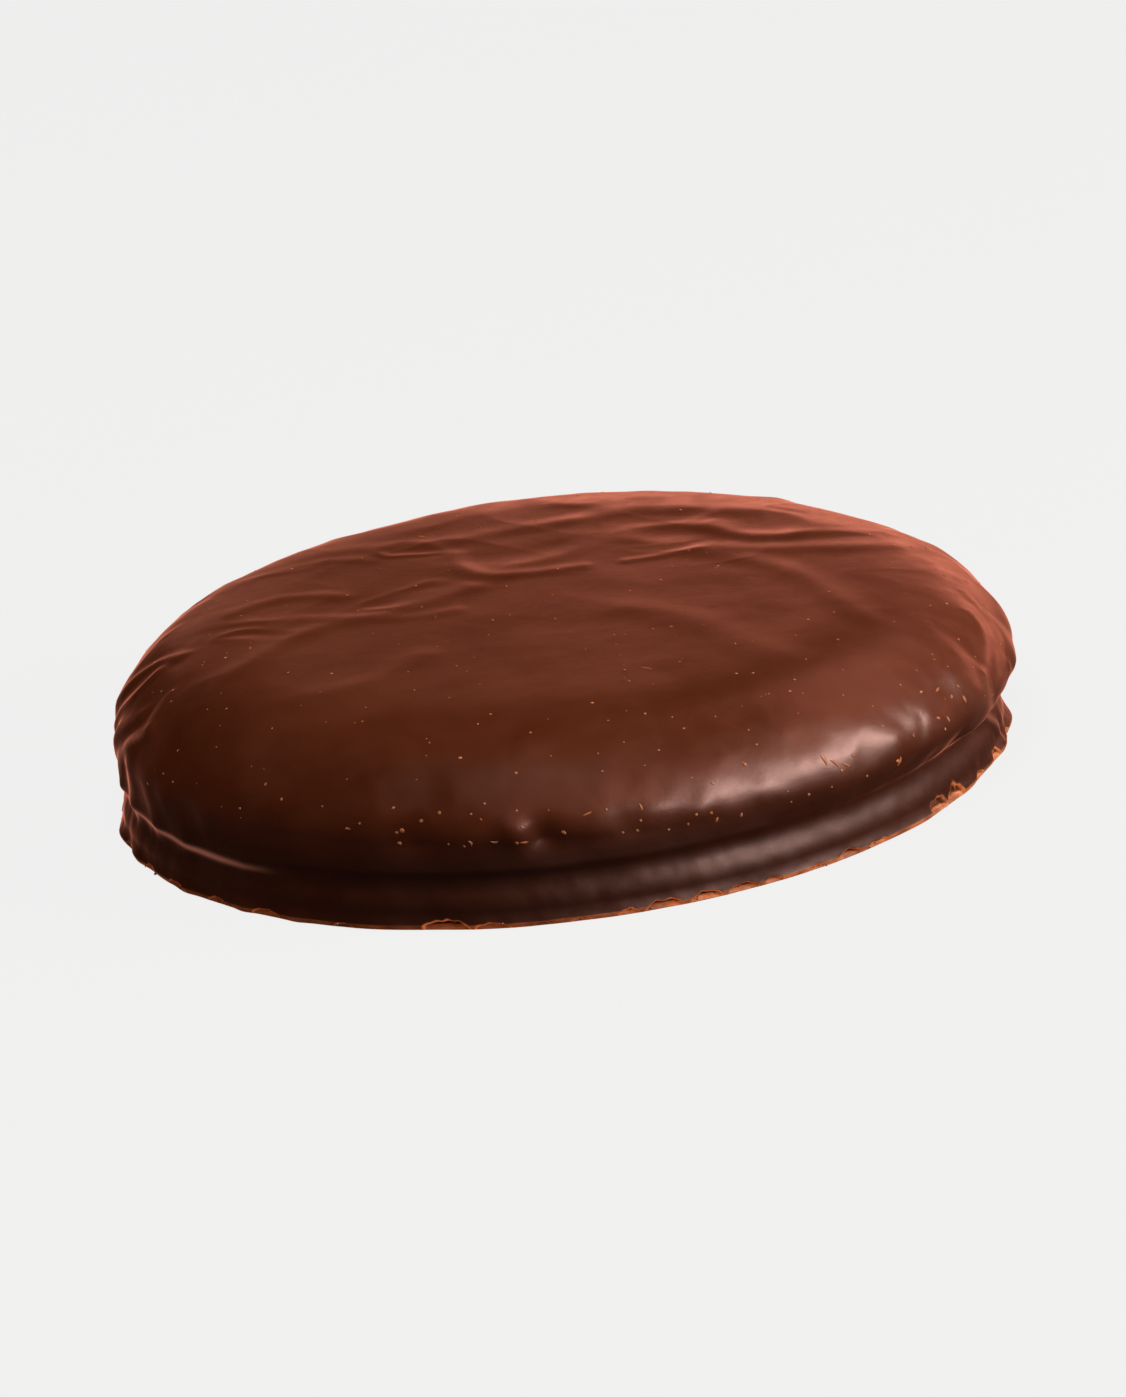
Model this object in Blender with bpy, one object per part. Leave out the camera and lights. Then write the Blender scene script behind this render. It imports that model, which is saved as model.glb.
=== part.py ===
"""Chocolate-coated filled cracker: two round crackers with a thin filling, enrobed as one piece.

One closed solid in metres, +Z up. The origin is the middle of the footprint's bounding box, on the
flat underside. The coat hides everything inside, so the body is solid.

From top to bottom the side of the biscuit is: the crown (gently domed top face), the shoulder (broad
round edge), the belly (widest line of the upper cracker), the waist (where the coat dips in at the
filling), the band (lower cracker) and the foot (thin ragged lip that the coat leaves on the belt,
with chips broken out of it).
"""

import math

import bmesh
import bpy
import numpy as np

# Driving dimensions, in metres.
DIAMETER = 0.0650
HEIGHT = 0.0125

RADIUS = DIAMETER / 2
CROWN_RADIUS = 0.60 * RADIUS
DOME_DROP = 0.012 * RADIUS
SHOULDER_POWER_ACROSS = 3.0
SHOULDER_POWER_UP = 1.5
BELLY_HEIGHT = 0.48 * HEIGHT
WAIST_RADIUS = 0.970 * RADIUS
WAIST_HEIGHT = 0.27 * HEIGHT
BAND_RADIUS = 0.979 * RADIUS
FOOT_RADIUS = 0.987 * RADIUS
FOOT_FLARE_HEIGHT = 0.0012
FOOT_POWER = 1.6
LIP_THICKNESS = 0.00030
LIP_INSET = 0.00016

# The lower cracker sits a little off centre under the upper one, which leans: its rise per metre
# towards +X.
LOWER_SHIFT = (-0.00070, -0.00120)
UPPER_LEAN = -0.019

# Ripples all over the top: how far they rise and how long they are. The front middle is calm.
RIPPLE_RISE = 0.00022
RIPPLE_LENGTH = 0.0080
RIPPLE_BEND = 0.5
RIPPLE_EDGE = 0.06
CALM_SHARE = 0.2
CALM_Y = -0.40 * RADIUS
CALM_REACH = (0.45 * RADIUS, 1.10 * RADIUS)

# Pools that the coat sank into, each (x, y, half length, half width) in radii and a bearing in
# degrees. The rim stands up as a crest and the middle sinks.
POOLS = (
    (-0.07, 0.34, 0.19, 0.115, 12),
    (0.28, 0.37, 0.09, 0.08, 0),
    (0.49, 0.385, 0.13, 0.075, -32),
    (-0.63, 0.14, 0.13, 0.055, 4),
    (-0.35, 0.10, 0.10, 0.055, 15),
    (-0.31, 0.47, 0.09, 0.035, -18),
    (-0.32, 0.70, 0.24, 0.10, 16),
    (0.14, 0.74, 0.26, 0.09, -8),
    (0.52, 0.62, 0.16, 0.07, -35),
    (-0.66, -0.03, 0.09, 0.045, -10),
)
POOL_SINK = 0.00010
POOL_RIM_RISE = 0.00011
POOL_RIM_SHARE = 0.34

# Crests that the flowing coat left, each a half width in metres and the points it runs through, in
# radii. They sweep from the back towards the front.
CRESTS = (
    (0.0012, ((-0.62, 0.47), (-0.50, 0.51), (-0.36, 0.49), (-0.23, 0.47), (-0.10, 0.52), (0.05, 0.54))),
    (0.0014, ((0.05, 0.54), (0.17, 0.58), (0.30, 0.57), (0.42, 0.52), (0.53, 0.44), (0.66, 0.34))),
    (0.0009, ((-0.21, 0.38), (-0.20, 0.27), (-0.15, 0.195), (-0.03, 0.185), (0.07, 0.20))),
    (0.0010, ((0.37, 0.41), (0.41, 0.33), (0.50, 0.29), (0.62, 0.28), (0.74, 0.29), (0.80, 0.36))),
    (0.0012, ((0.36, 0.25), (0.48, 0.20), (0.62, 0.17), (0.76, 0.17), (0.85, 0.24), (0.88, 0.34))),
    (0.0012, ((0.33, 0.22), (0.45, 0.14), (0.55, 0.00), (0.61, -0.16), (0.67, -0.33), (0.84, -0.47))),
    (0.0018, ((0.16, -0.12), (0.29, -0.22), (0.38, -0.37), (0.48, -0.54), (0.58, -0.62))),
    (0.0012, ((-0.80, -0.34), (-0.66, -0.19), (-0.55, -0.05), (-0.44, 0.00), (-0.33, 0.02), (-0.18, 0.13))),
    (0.0016, ((-0.62, -0.48), (-0.50, -0.48), (-0.38, -0.42), (-0.30, -0.30))),
)
CREST_RISE = 0.00012
CORNER_CUTS = 2

# Relief of the side: oval, long swells, and pleats where the coat ran down.
OVAL = 0.004
PLEAT_RISE = 0.00024
PLEAT_LENGTH = 0.0042
PLEAT_START = (0.72 * RADIUS, 0.95 * RADIUS)
LOWER_PLEAT_SHARE = 0.3
SWELL_RISE = 0.00018
SWELL_LENGTH = 0.014
SWELL_START = (0.3 * RADIUS, RADIUS)
FOOT_WANDER = 0.00022
FOOT_WANDER_LENGTH = 0.0050
OVAL_BEARING = 0.3
NOISE_CELLS = 64
NOISE_GAIN = 1.6
SEED = 20

# Chips broken out of the foot, each (bearing in degrees, half width, rise up the side, depth). The
# front has them at these places, and from BACK_CHIPS' first bearing to its last they are drawn.
FRONT_CHIPS = (
    (-168, 0.0012, 0.0007, 0.00035),
    (-159, 0.0010, 0.0006, 0.00045),
    (-151, 0.0014, 0.0006, 0.00060),
    (-142, 0.0011, 0.0006, 0.00055),
    (-133, 0.0013, 0.0006, 0.00045),
    (-121, 0.0008, 0.0004, 0.00030),
    (-107, 0.0017, 0.0009, 0.00050),
    (-101, 0.0013, 0.0006, 0.00045),
    (-95, 0.0006, 0.0004, 0.00030),
    (-90, 0.0007, 0.0004, 0.00030),
    (-84, 0.0008, 0.0006, 0.00035),
    (-79.5, 0.0014, 0.0008, 0.00050),
    (-74, 0.0012, 0.0008, 0.00045),
    (-69, 0.0012, 0.0007, 0.00045),
    (-65, 0.0009, 0.0006, 0.00035),
    (-58.5, 0.0007, 0.0005, 0.00030),
    (-53.5, 0.0011, 0.0008, 0.00045),
    (-48.5, 0.0013, 0.0005, 0.00030),
    (-36, 0.0012, 0.0014, 0.00055),
    (-31.5, 0.0012, 0.0015, 0.00060),
    (-24, 0.0009, 0.0008, 0.00040),
    (-17, 0.0010, 0.0010, 0.00045),
    (-8.5, 0.0008, 0.0008, 0.00060),
)
BACK_CHIPS = (4, 184)
BACK_CHIP_COUNT = 21
CHIP_HALF_WIDTHS = (0.0008, 0.0021)
CHIP_RISES = (0.0005, 0.0014)
CHIP_DEPTHS = (0.00025, 0.00060)
CHIP_STRAY = 0.35
CHIP_SOLE_SHARE = 0.3
SMALL_CHIP_POWER = 1.5
HIGHEST_CHIP = 0.0015

# Lobes where the foot spread further out, each (bearing in degrees, half width, reach).
FOOT_LOBES = (
    (-3, 0.0026, 0.00050),
    (-13, 0.0014, 0.00020),
    (-164, 0.0016, 0.00025),
    (-174, 0.0020, 0.00030),
    (58, 0.0024, 0.00030),
    (121, 0.0020, 0.00025),
)

# Mesh density: points round the side, halved towards the middle, and rings down each stretch.
SIDE_COLUMNS = 160
CROWN_PITCH = 0.00112
CLOSEST_COLUMNS = 0.62 * CROWN_PITCH
SHOULDER_RINGS = 13
BELLY_RINGS = 4
BAND_RINGS = 3
FOOT_RINGS = 4
FEWEST_COLUMNS = 10

CHOCOLATE_COLOUR = (0.085, 0.026, 0.013, 1.0)
CHOCOLATE_ROUGHNESS = 0.38


def smooth_step(low, high, value):
    """0 below low, 1 above high, and an S curve between."""
    share = np.clip((value - low) / (high - low), 0.0, 1.0)
    return share * share * (3.0 - 2.0 * share)


def crown_height(radius):
    """Height of the dome over the top: a shallow parabola that drops by DOME_DROP at the rim."""
    return HEIGHT - DOME_DROP * (radius / RADIUS) ** 2


def shoulder_point(share):
    """(radius, height) on the round edge: a superellipse under the dome, from the crown (0) to the
    belly (1). The power of the share spaces the points evenly where they leave the crown."""
    turn = (1.0 - share ** (SHOULDER_POWER_ACROSS / 2)) * math.pi / 2
    across = math.cos(turn) ** (2 / SHOULDER_POWER_ACROSS)
    up = math.sin(turn) ** (2 / SHOULDER_POWER_UP)
    radius = CROWN_RADIUS + (RADIUS - CROWN_RADIUS) * across
    return radius, BELLY_HEIGHT + (crown_height(radius) - BELLY_HEIGHT) * up


def belly_point(share):
    """(radius, height) from the belly (0) in to the waist (1), upright at both ends."""
    inward = (1.0 - math.cos(math.pi * share)) / 2
    radius = RADIUS + (WAIST_RADIUS - RADIUS) * inward
    return radius, BELLY_HEIGHT + (WAIST_HEIGHT - BELLY_HEIGHT) * share


def band_point(share):
    """(radius, height) from the waist (0) down the lower cracker to the top of the foot (1)."""
    outward = (1.0 - math.cos(math.pi * share)) / 2
    radius = WAIST_RADIUS + (BAND_RADIUS - WAIST_RADIUS) * outward
    return radius, WAIST_HEIGHT + (FOOT_FLARE_HEIGHT - WAIST_HEIGHT) * share


def foot_point(share):
    """(radius, height) down the foot's flare (0) to the top of the lip (1)."""
    radius = BAND_RADIUS + (FOOT_RADIUS - BAND_RADIUS) * share**FOOT_POWER
    return radius, FOOT_FLARE_HEIGHT + (LIP_THICKNESS - FOOT_FLARE_HEIGHT) * share


def side_rings():
    """The turned profile below the crown, as (radius, height) from the shoulder to the sole."""
    rings = [shoulder_point(i / SHOULDER_RINGS) for i in range(SHOULDER_RINGS)]
    rings += [belly_point(i / BELLY_RINGS) for i in range(BELLY_RINGS)]
    rings += [band_point(i / BAND_RINGS) for i in range(BAND_RINGS)]
    rings += [foot_point(i / FOOT_RINGS) for i in range(FOOT_RINGS + 1)]
    rings.append((FOOT_RADIUS - LIP_INSET, 0.0))
    return rings


def crown_rings():
    """Rings of the top face as (radius, height, points round it), from the middle to the rim."""
    count = round(CROWN_RADIUS / CROWN_PITCH)
    rings = []
    for index in range(1, count):
        radius = CROWN_RADIUS * index / count
        rings.append((radius, crown_height(radius), columns_at(radius)))
    return rings


def columns_at(radius):
    """Points round a ring of this radius: SIDE_COLUMNS, halved while they stand too closely."""
    columns = SIDE_COLUMNS
    while columns > FEWEST_COLUMNS and 2 * math.pi * radius / columns < CLOSEST_COLUMNS:
        columns //= 2
    return columns


def noise(x, y, seed):
    """Smooth gradient noise on a unit lattice, about -1 to 1: random slopes at the lattice points,
    blended by an S curve across each cell."""
    draw = np.random.default_rng(seed)
    slope = draw.uniform(0.0, 2 * math.pi, (NOISE_CELLS, NOISE_CELLS))
    column = np.floor(x).astype(int)
    row = np.floor(y).astype(int)
    east = x - column
    north = y - row
    corners = []
    for right, up in ((0, 0), (1, 0), (0, 1), (1, 1)):
        lean = slope[(column + right) % NOISE_CELLS, (row + up) % NOISE_CELLS]
        corners.append(np.cos(lean) * (east - right) + np.sin(lean) * (north - up))
    blend_x = smooth_step(0.0, 1.0, east)
    blend_y = smooth_step(0.0, 1.0, north)
    low = corners[0] + (corners[1] - corners[0]) * blend_x
    high = corners[2] + (corners[3] - corners[2]) * blend_x
    return NOISE_GAIN * (low + (high - low) * blend_y)


def ripples(x, y):
    """Ridges where bent noise is zero, strongest towards the back and the rim."""
    bend = RIPPLE_BEND * noise(x / RIPPLE_LENGTH, y / RIPPLE_LENGTH, SEED + 5)
    level = noise(x / RIPPLE_LENGTH + bend, y / RIPPLE_LENGTH - bend, SEED)
    ridge = 0.5 - np.sqrt(np.abs(level) + RIPPLE_EDGE)
    wild = CALM_SHARE + (1.0 - CALM_SHARE) * smooth_step(*CALM_REACH, np.hypot(x, y - CALM_Y))
    return RIPPLE_RISE * wild * ridge


def pool_relief(x, y):
    """Height over the pools: a bell-shaped crest along each oval rim, and a sunken middle."""
    height = 0.0
    for centre_x, centre_y, half_length, half_width, degrees in POOLS:
        bearing = math.radians(degrees)
        east = x / RADIUS - centre_x
        north = y / RADIUS - centre_y
        along = (east * math.cos(bearing) + north * math.sin(bearing)) / half_length
        across = (north * math.cos(bearing) - east * math.sin(bearing)) / half_width
        reach = np.hypot(along, across)
        rim = np.exp(-(((reach - 1.0) / POOL_RIM_SHARE) ** 2))
        height += POOL_RIM_RISE * rim - POOL_SINK * (1.0 - smooth_step(0.0, 1.0, reach))
    return height


def rounded(points):
    """A path through these points with its corners cut off, a quarter of each leg at a time."""
    path = np.array(points) * RADIUS
    for _ in range(CORNER_CUTS):
        near = 0.75 * path[:-1] + 0.25 * path[1:]
        far = 0.25 * path[:-1] + 0.75 * path[1:]
        middle = np.stack((near, far), axis=1).reshape(-1, 2)
        path = np.vstack((path[:1], middle, path[-1:]))
    return path


def distance_to_path(x, y, path):
    """Distance from each point to the nearest leg of the path."""
    nearest = np.full(np.shape(x), np.inf)
    for start, end in zip(path, path[1:]):
        leg = end - start
        share = ((x - start[0]) * leg[0] + (y - start[1]) * leg[1]) / (leg @ leg)
        share = np.clip(share, 0.0, 1.0)
        away = np.hypot(x - start[0] - share * leg[0], y - start[1] - share * leg[1])
        nearest = np.minimum(nearest, away)
    return nearest


def crown_relief(x, y):
    """Relief of the top face: ripples, pools and bell-shaped crests."""
    height = ripples(x, y) + pool_relief(x, y)
    for half_width, points in CRESTS:
        away = distance_to_path(x, y, rounded(points))
        height += CREST_RISE * np.exp(-((away / half_width) ** 2))
    return height


def round_noise(turn, length, rise, seed):
    """Noise round the side, about -1 to 1, with features of this length, shifted by rise lengths."""
    lap = RADIUS / length
    return noise(lap * np.cos(turn), lap * np.sin(turn) + rise, seed)


def chips():
    """(turn, half width, rise, depth) of each chip: the front's, then the back's with uneven gaps."""
    for degrees, half_width, rise, depth in FRONT_CHIPS:
        yield math.radians(degrees), half_width, rise, depth
    draw = np.random.default_rng(SEED + 2)
    first, last = BACK_CHIPS
    step = (last - first) / BACK_CHIP_COUNT
    for index in range(BACK_CHIP_COUNT):
        turn = math.radians(first + (index + 0.5 + draw.uniform(-CHIP_STRAY, CHIP_STRAY)) * step)
        size = draw.uniform(0.0, 1.0) ** SMALL_CHIP_POWER
        half_width = CHIP_HALF_WIDTHS[0] + size * (CHIP_HALF_WIDTHS[1] - CHIP_HALF_WIDTHS[0])
        rise = CHIP_RISES[0] + size * (CHIP_RISES[1] - CHIP_RISES[0])
        yield turn, half_width, rise, draw.uniform(*CHIP_DEPTHS)


def arc_from(turn, centre):
    """Distance round the rim from the centre bearing, negative on its clockwise side."""
    return (np.mod(turn - centre + math.pi, 2 * math.pi) - math.pi) * RADIUS


def chip_depth(turn, height):
    """How far chips cut into the side there: each is a shell-shaped scoop, deepest just above the lip.
    The lip's bottom edge keeps most of its reach."""
    cut = np.zeros_like(turn)
    for centre, half_width, rise, depth in chips():
        across = arc_from(turn, centre) / half_width
        cut = np.maximum(cut, depth * (1.0 - across**2 - (height / rise) ** 2))
    return cut * (CHIP_SOLE_SHARE if height < LIP_THICKNESS else 1.0)


def foot_reach(turn, height):
    """How far the foot spreads past the turned shape: it wanders, and lobes swell out of it."""
    reach = FOOT_WANDER * round_noise(turn, FOOT_WANDER_LENGTH, 0.0, SEED + 6)
    for degrees, half_width, out in FOOT_LOBES:
        across = arc_from(turn, math.radians(degrees)) / half_width
        reach += out * np.exp(-(across**2))
    return reach * (1.0 - smooth_step(0.0, FOOT_FLARE_HEIGHT, height))


def side_relief(turn, radius, height):
    """How far the coat stands out from the turned shape: oval, swell, pleats, uneven foot and chips."""
    oval = OVAL * radius * np.cos(2 * (turn - OVAL_BEARING))
    swell = SWELL_RISE * round_noise(turn, SWELL_LENGTH, height / SWELL_LENGTH, SEED + 3)
    swell *= smooth_step(*SWELL_START, radius)
    upper = smooth_step(WAIST_HEIGHT, BELLY_HEIGHT, height)
    pleat = PLEAT_RISE * round_noise(turn, PLEAT_LENGTH, 0.0, SEED + 4)
    pleat *= smooth_step(*PLEAT_START, radius) * (LOWER_PLEAT_SHARE + (1.0 - LOWER_PLEAT_SHARE) * upper)
    chip = chip_depth(turn, height) if height < HIGHEST_CHIP else 0.0
    return oval + swell + pleat + foot_reach(turn, height) - chip


def coat_points(radius, height, columns):
    """The points of one ring of the coat, with its relief, as an array of (x, y, z). Below the belly
    the ring moves over to the lower cracker's centre, and above it the ring leans."""
    turn = np.arange(columns) * 2 * math.pi / columns
    spread = radius + side_relief(turn, radius, height)
    x = spread * np.cos(turn)
    y = spread * np.sin(turn)
    z = height + crown_relief(x, y) * smooth_step(BELLY_HEIGHT, crown_height(CROWN_RADIUS), height)
    shift = 1.0 - smooth_step(WAIST_HEIGHT, BELLY_HEIGHT, height)
    z = z + (1.0 - shift) * UPPER_LEAN * x
    return np.column_stack((x + shift * LOWER_SHIFT[0], y + shift * LOWER_SHIFT[1], z))


def add_band(mesh, inner, outer):
    """Faces between two rings of vertices that start at the same bearing. Rings with as many points
    are joined by quads. Where the outer one has twice as many, each step of the inner one is joined
    to two of its steps by three triangles."""
    count = len(inner)
    for index in range(count):
        onward = (index + 1) % count
        if len(outer) == count:
            mesh.faces.new((inner[index], outer[index], outer[onward], inner[onward]))
            continue
        first, middle, last = outer[2 * index], outer[2 * index + 1], outer[2 * onward]
        mesh.faces.new((inner[index], first, middle))
        mesh.faces.new((inner[index], middle, inner[onward]))
        mesh.faces.new((inner[onward], middle, last))


def build_coat():
    """Joins the rings from the crown's middle over the side to the sole, and closes both ends."""
    mesh = bmesh.new()
    profile = crown_rings()
    profile += [(radius, height, SIDE_COLUMNS) for radius, height in side_rings()]
    rings = [[mesh.verts.new(point) for point in coat_points(*ring)] for ring in profile]
    for inner, outer in zip(rings, rings[1:]):
        add_band(mesh, inner, outer)
    top = mesh.verts.new((0.0, 0.0, HEIGHT + crown_relief(np.zeros(1), np.zeros(1))[0]))
    for index, vertex in enumerate(rings[0]):
        mesh.faces.new((top, rings[0][index - 1], vertex))
    mesh.faces.new(rings[-1])
    bmesh.ops.triangulate(mesh, faces=mesh.faces)
    bmesh.ops.recalc_face_normals(mesh, faces=mesh.faces)
    return mesh


def centre_on_footprint(mesh):
    """Moves the mesh so that its bounding box is centred on the origin and stands on Z = 0."""
    points = np.array([vertex.co for vertex in mesh.verts])
    low = points.min(axis=0)
    high = points.max(axis=0)
    middle = (-(low[0] + high[0]) / 2, -(low[1] + high[1]) / 2, -low[2])
    bmesh.ops.translate(mesh, verts=mesh.verts, vec=middle)


def chocolate():
    """Satin dark chocolate."""
    material = bpy.data.materials.new("dark_chocolate")
    material.use_nodes = True
    shader = material.node_tree.nodes["Principled BSDF"]
    shader.inputs["Base Color"].default_value = CHOCOLATE_COLOUR
    shader.inputs["Roughness"].default_value = CHOCOLATE_ROUGHNESS
    shader.inputs["Metallic"].default_value = 0.0
    return material


def main():
    """Builds the coated cracker as one object."""
    for old in list(bpy.data.objects):
        bpy.data.objects.remove(old)
    mesh = build_coat()
    centre_on_footprint(mesh)
    data = bpy.data.meshes.new("coated_cracker")
    mesh.to_mesh(data)
    mesh.free()
    data.shade_smooth()
    data.materials.append(chocolate())
    cracker = bpy.data.objects.new("coated_cracker", data)
    bpy.context.scene.collection.objects.link(cracker)


main()
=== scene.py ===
"""Looks of a round filled cracker coated in dark chocolate.

The coat is one skin, made as two closed pieces that meet in the dark groove at the waist: the upper
coat (crown, shoulder and belly) and the lower coat (band, foot and broken lip). The sole closes it
underneath. Pinholes, scuffs and crumbs lie on the skin as joined meshes.

Every place on the skin has two coordinates: its turn, the bearing round the upright axis in radians,
and its reach, the distance from the middle of the crown along the turned profile, in metres. The
frame is the CAD frame: metres, +Z up, -Y to the front, the sole on Z = 0.
"""

import logging
import math
from abc import ABC, abstractmethod
from collections.abc import Iterator
from dataclasses import dataclass, field
from enum import Enum
from functools import cached_property

import bpy
import numpy as np
from mathutils import Matrix, Vector


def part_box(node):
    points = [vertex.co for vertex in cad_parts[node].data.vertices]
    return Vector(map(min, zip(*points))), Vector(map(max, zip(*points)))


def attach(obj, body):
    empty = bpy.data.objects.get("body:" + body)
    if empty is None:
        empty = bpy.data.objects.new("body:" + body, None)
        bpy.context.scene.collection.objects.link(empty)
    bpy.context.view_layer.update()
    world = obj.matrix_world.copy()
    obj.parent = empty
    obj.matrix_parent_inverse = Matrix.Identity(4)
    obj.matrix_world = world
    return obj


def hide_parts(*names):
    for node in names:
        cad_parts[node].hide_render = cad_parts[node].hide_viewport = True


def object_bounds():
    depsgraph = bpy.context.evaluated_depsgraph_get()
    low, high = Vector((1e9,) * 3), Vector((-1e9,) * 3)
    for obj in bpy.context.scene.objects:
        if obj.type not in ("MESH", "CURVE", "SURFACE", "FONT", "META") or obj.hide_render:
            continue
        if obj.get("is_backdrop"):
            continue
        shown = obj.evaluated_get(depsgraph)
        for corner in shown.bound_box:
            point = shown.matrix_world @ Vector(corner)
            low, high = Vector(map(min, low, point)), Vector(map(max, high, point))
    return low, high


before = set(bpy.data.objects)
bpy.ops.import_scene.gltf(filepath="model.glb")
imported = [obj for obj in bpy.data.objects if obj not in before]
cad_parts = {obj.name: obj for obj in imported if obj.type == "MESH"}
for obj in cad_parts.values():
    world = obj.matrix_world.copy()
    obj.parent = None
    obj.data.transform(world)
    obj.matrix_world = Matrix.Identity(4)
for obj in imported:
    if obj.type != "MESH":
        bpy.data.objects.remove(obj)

CAD_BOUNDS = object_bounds()
LOG = logging.getLogger("filled_cracker")

Array = np.ndarray
Colour = tuple[float, float, float]
Span = tuple[float, float]
SEED = 20
NOISE_GAIN = 1.6
CORNER_CUT = 0.25


class Name(Enum):
    """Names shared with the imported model."""

    BODY = "root"
    NODE = "coated_cracker"
    SLOT = "dark_chocolate"


class Mark(Enum):
    """Per-point attributes of the skin that its materials read."""

    BROKEN = "broken"
    # Broken edges and the lip: paler colour, plus a painted glow towards the key light.
    EDGE = "edge"
    # Painted highlight along fold ridges, in colour and glow.
    WORN = "worn"


# Plain arithmetic on whole arrays.


def smooth_step(low: float, high: float, value: Array) -> Array:
    """0 below low, 1 above high, and the S curve 3t^2 - 2t^3 between.

    Args:
        low: Where the curve leaves 0.
        high: Where the curve reaches 1.
        value: The values to look up.

    Returns:
        The S curve's height at each value.
    """
    share = np.clip((value - low) / (high - low), 0.0, 1.0)
    return share * share * (3.0 - 2.0 * share)


def bell(offset: Array) -> Array:
    """The bell curve e^(-t^2), which is 1 at 0 and about 0.02 at 2."""
    return np.exp(-(offset**2))


def half_wave(share: Array) -> Array:
    """Half a cosine wave, from 0 at 0 to 1 at 1 and level at both ends."""
    return (1.0 - np.cos(math.pi * share)) / 2


def at_least(least: float, level: Array) -> Array:
    """A straight line from the least share at level 0 up to 1 at level 1."""
    return least + (1.0 - least) * level


def lattice_noise(x: Array, y: Array, seed: int, cells: int = 64) -> Array:
    """Smooth gradient noise on a unit lattice that repeats every so many cells.

    Each lattice point has a unit slope in a random direction. The height at a place is the four
    corners' slopes times its offsets from them, blended by the S curve across the cell, times a
    gain that brings it to about 1.

    Args:
        x: East coordinates, in cells.
        y: North coordinates, in cells.
        seed: Which random lattice.
        cells: Cells before the lattice repeats.

    Returns:
        Heights from about -1 to 1.
    """
    slope = np.random.default_rng(seed).uniform(0.0, 2 * math.pi, (cells, cells))
    column = np.floor(x).astype(int)
    row = np.floor(y).astype(int)
    east = x - column
    north = y - row
    corners = []
    for right, up in ((0, 0), (1, 0), (0, 1), (1, 1)):
        lean = slope[(column + right) % cells, (row + up) % cells]
        corners.append(np.cos(lean) * (east - right) + np.sin(lean) * (north - up))
    blend_x = smooth_step(0.0, 1.0, east)
    blend_y = smooth_step(0.0, 1.0, north)
    low = corners[0] + (corners[1] - corners[0]) * blend_x
    high = corners[2] + (corners[3] - corners[2]) * blend_x
    return NOISE_GAIN * (low + (high - low) * blend_y)


def crest_of(level: Array, softness: float) -> Array:
    """Turns noise into ridges: 1/2 - sqrt(|level| + softness), highest where the noise is 0."""
    return 0.5 - np.sqrt(np.abs(level) + softness)


def distance_to_path(x: Array, y: Array, path: Array) -> Array:
    """Distance from each place to the nearest leg of a path of points.

    Args:
        x: East coordinates.
        y: North coordinates.
        path: The path's points, one a row.

    Returns:
        The distances, shaped as x.
    """
    nearest = np.full(np.shape(x), np.inf)
    for start, end in zip(path, path[1:]):
        leg = end - start
        share = ((x - start[0]) * leg[0] + (y - start[1]) * leg[1]) / (leg @ leg)
        share = np.clip(share, 0.0, 1.0)
        away = np.hypot(x - start[0] - share * leg[0], y - start[1] - share * leg[1])
        nearest = np.minimum(nearest, away)
    return nearest


def rounded(path: Array, cuts: int) -> Array:
    """A path with its corners cut off, a quarter of each leg at a time.

    Args:
        path: The path's points, one a row.
        cuts: How many times the corners are cut.

    Returns:
        The rounded path.
    """
    for _ in range(cuts):
        near = (1.0 - CORNER_CUT) * path[:-1] + CORNER_CUT * path[1:]
        far = CORNER_CUT * path[:-1] + (1.0 - CORNER_CUT) * path[1:]
        middle = np.stack((near, far), axis=1).reshape(-1, 2)
        path = np.vstack((path[:1], middle, path[-1:]))
    return path


def wrapped(turn: Array, centre: float) -> Array:
    """The turn from the centre bearing, between -pi and pi."""
    return np.mod(turn - centre + math.pi, 2 * math.pi) - math.pi


# The turned shape.


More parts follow.
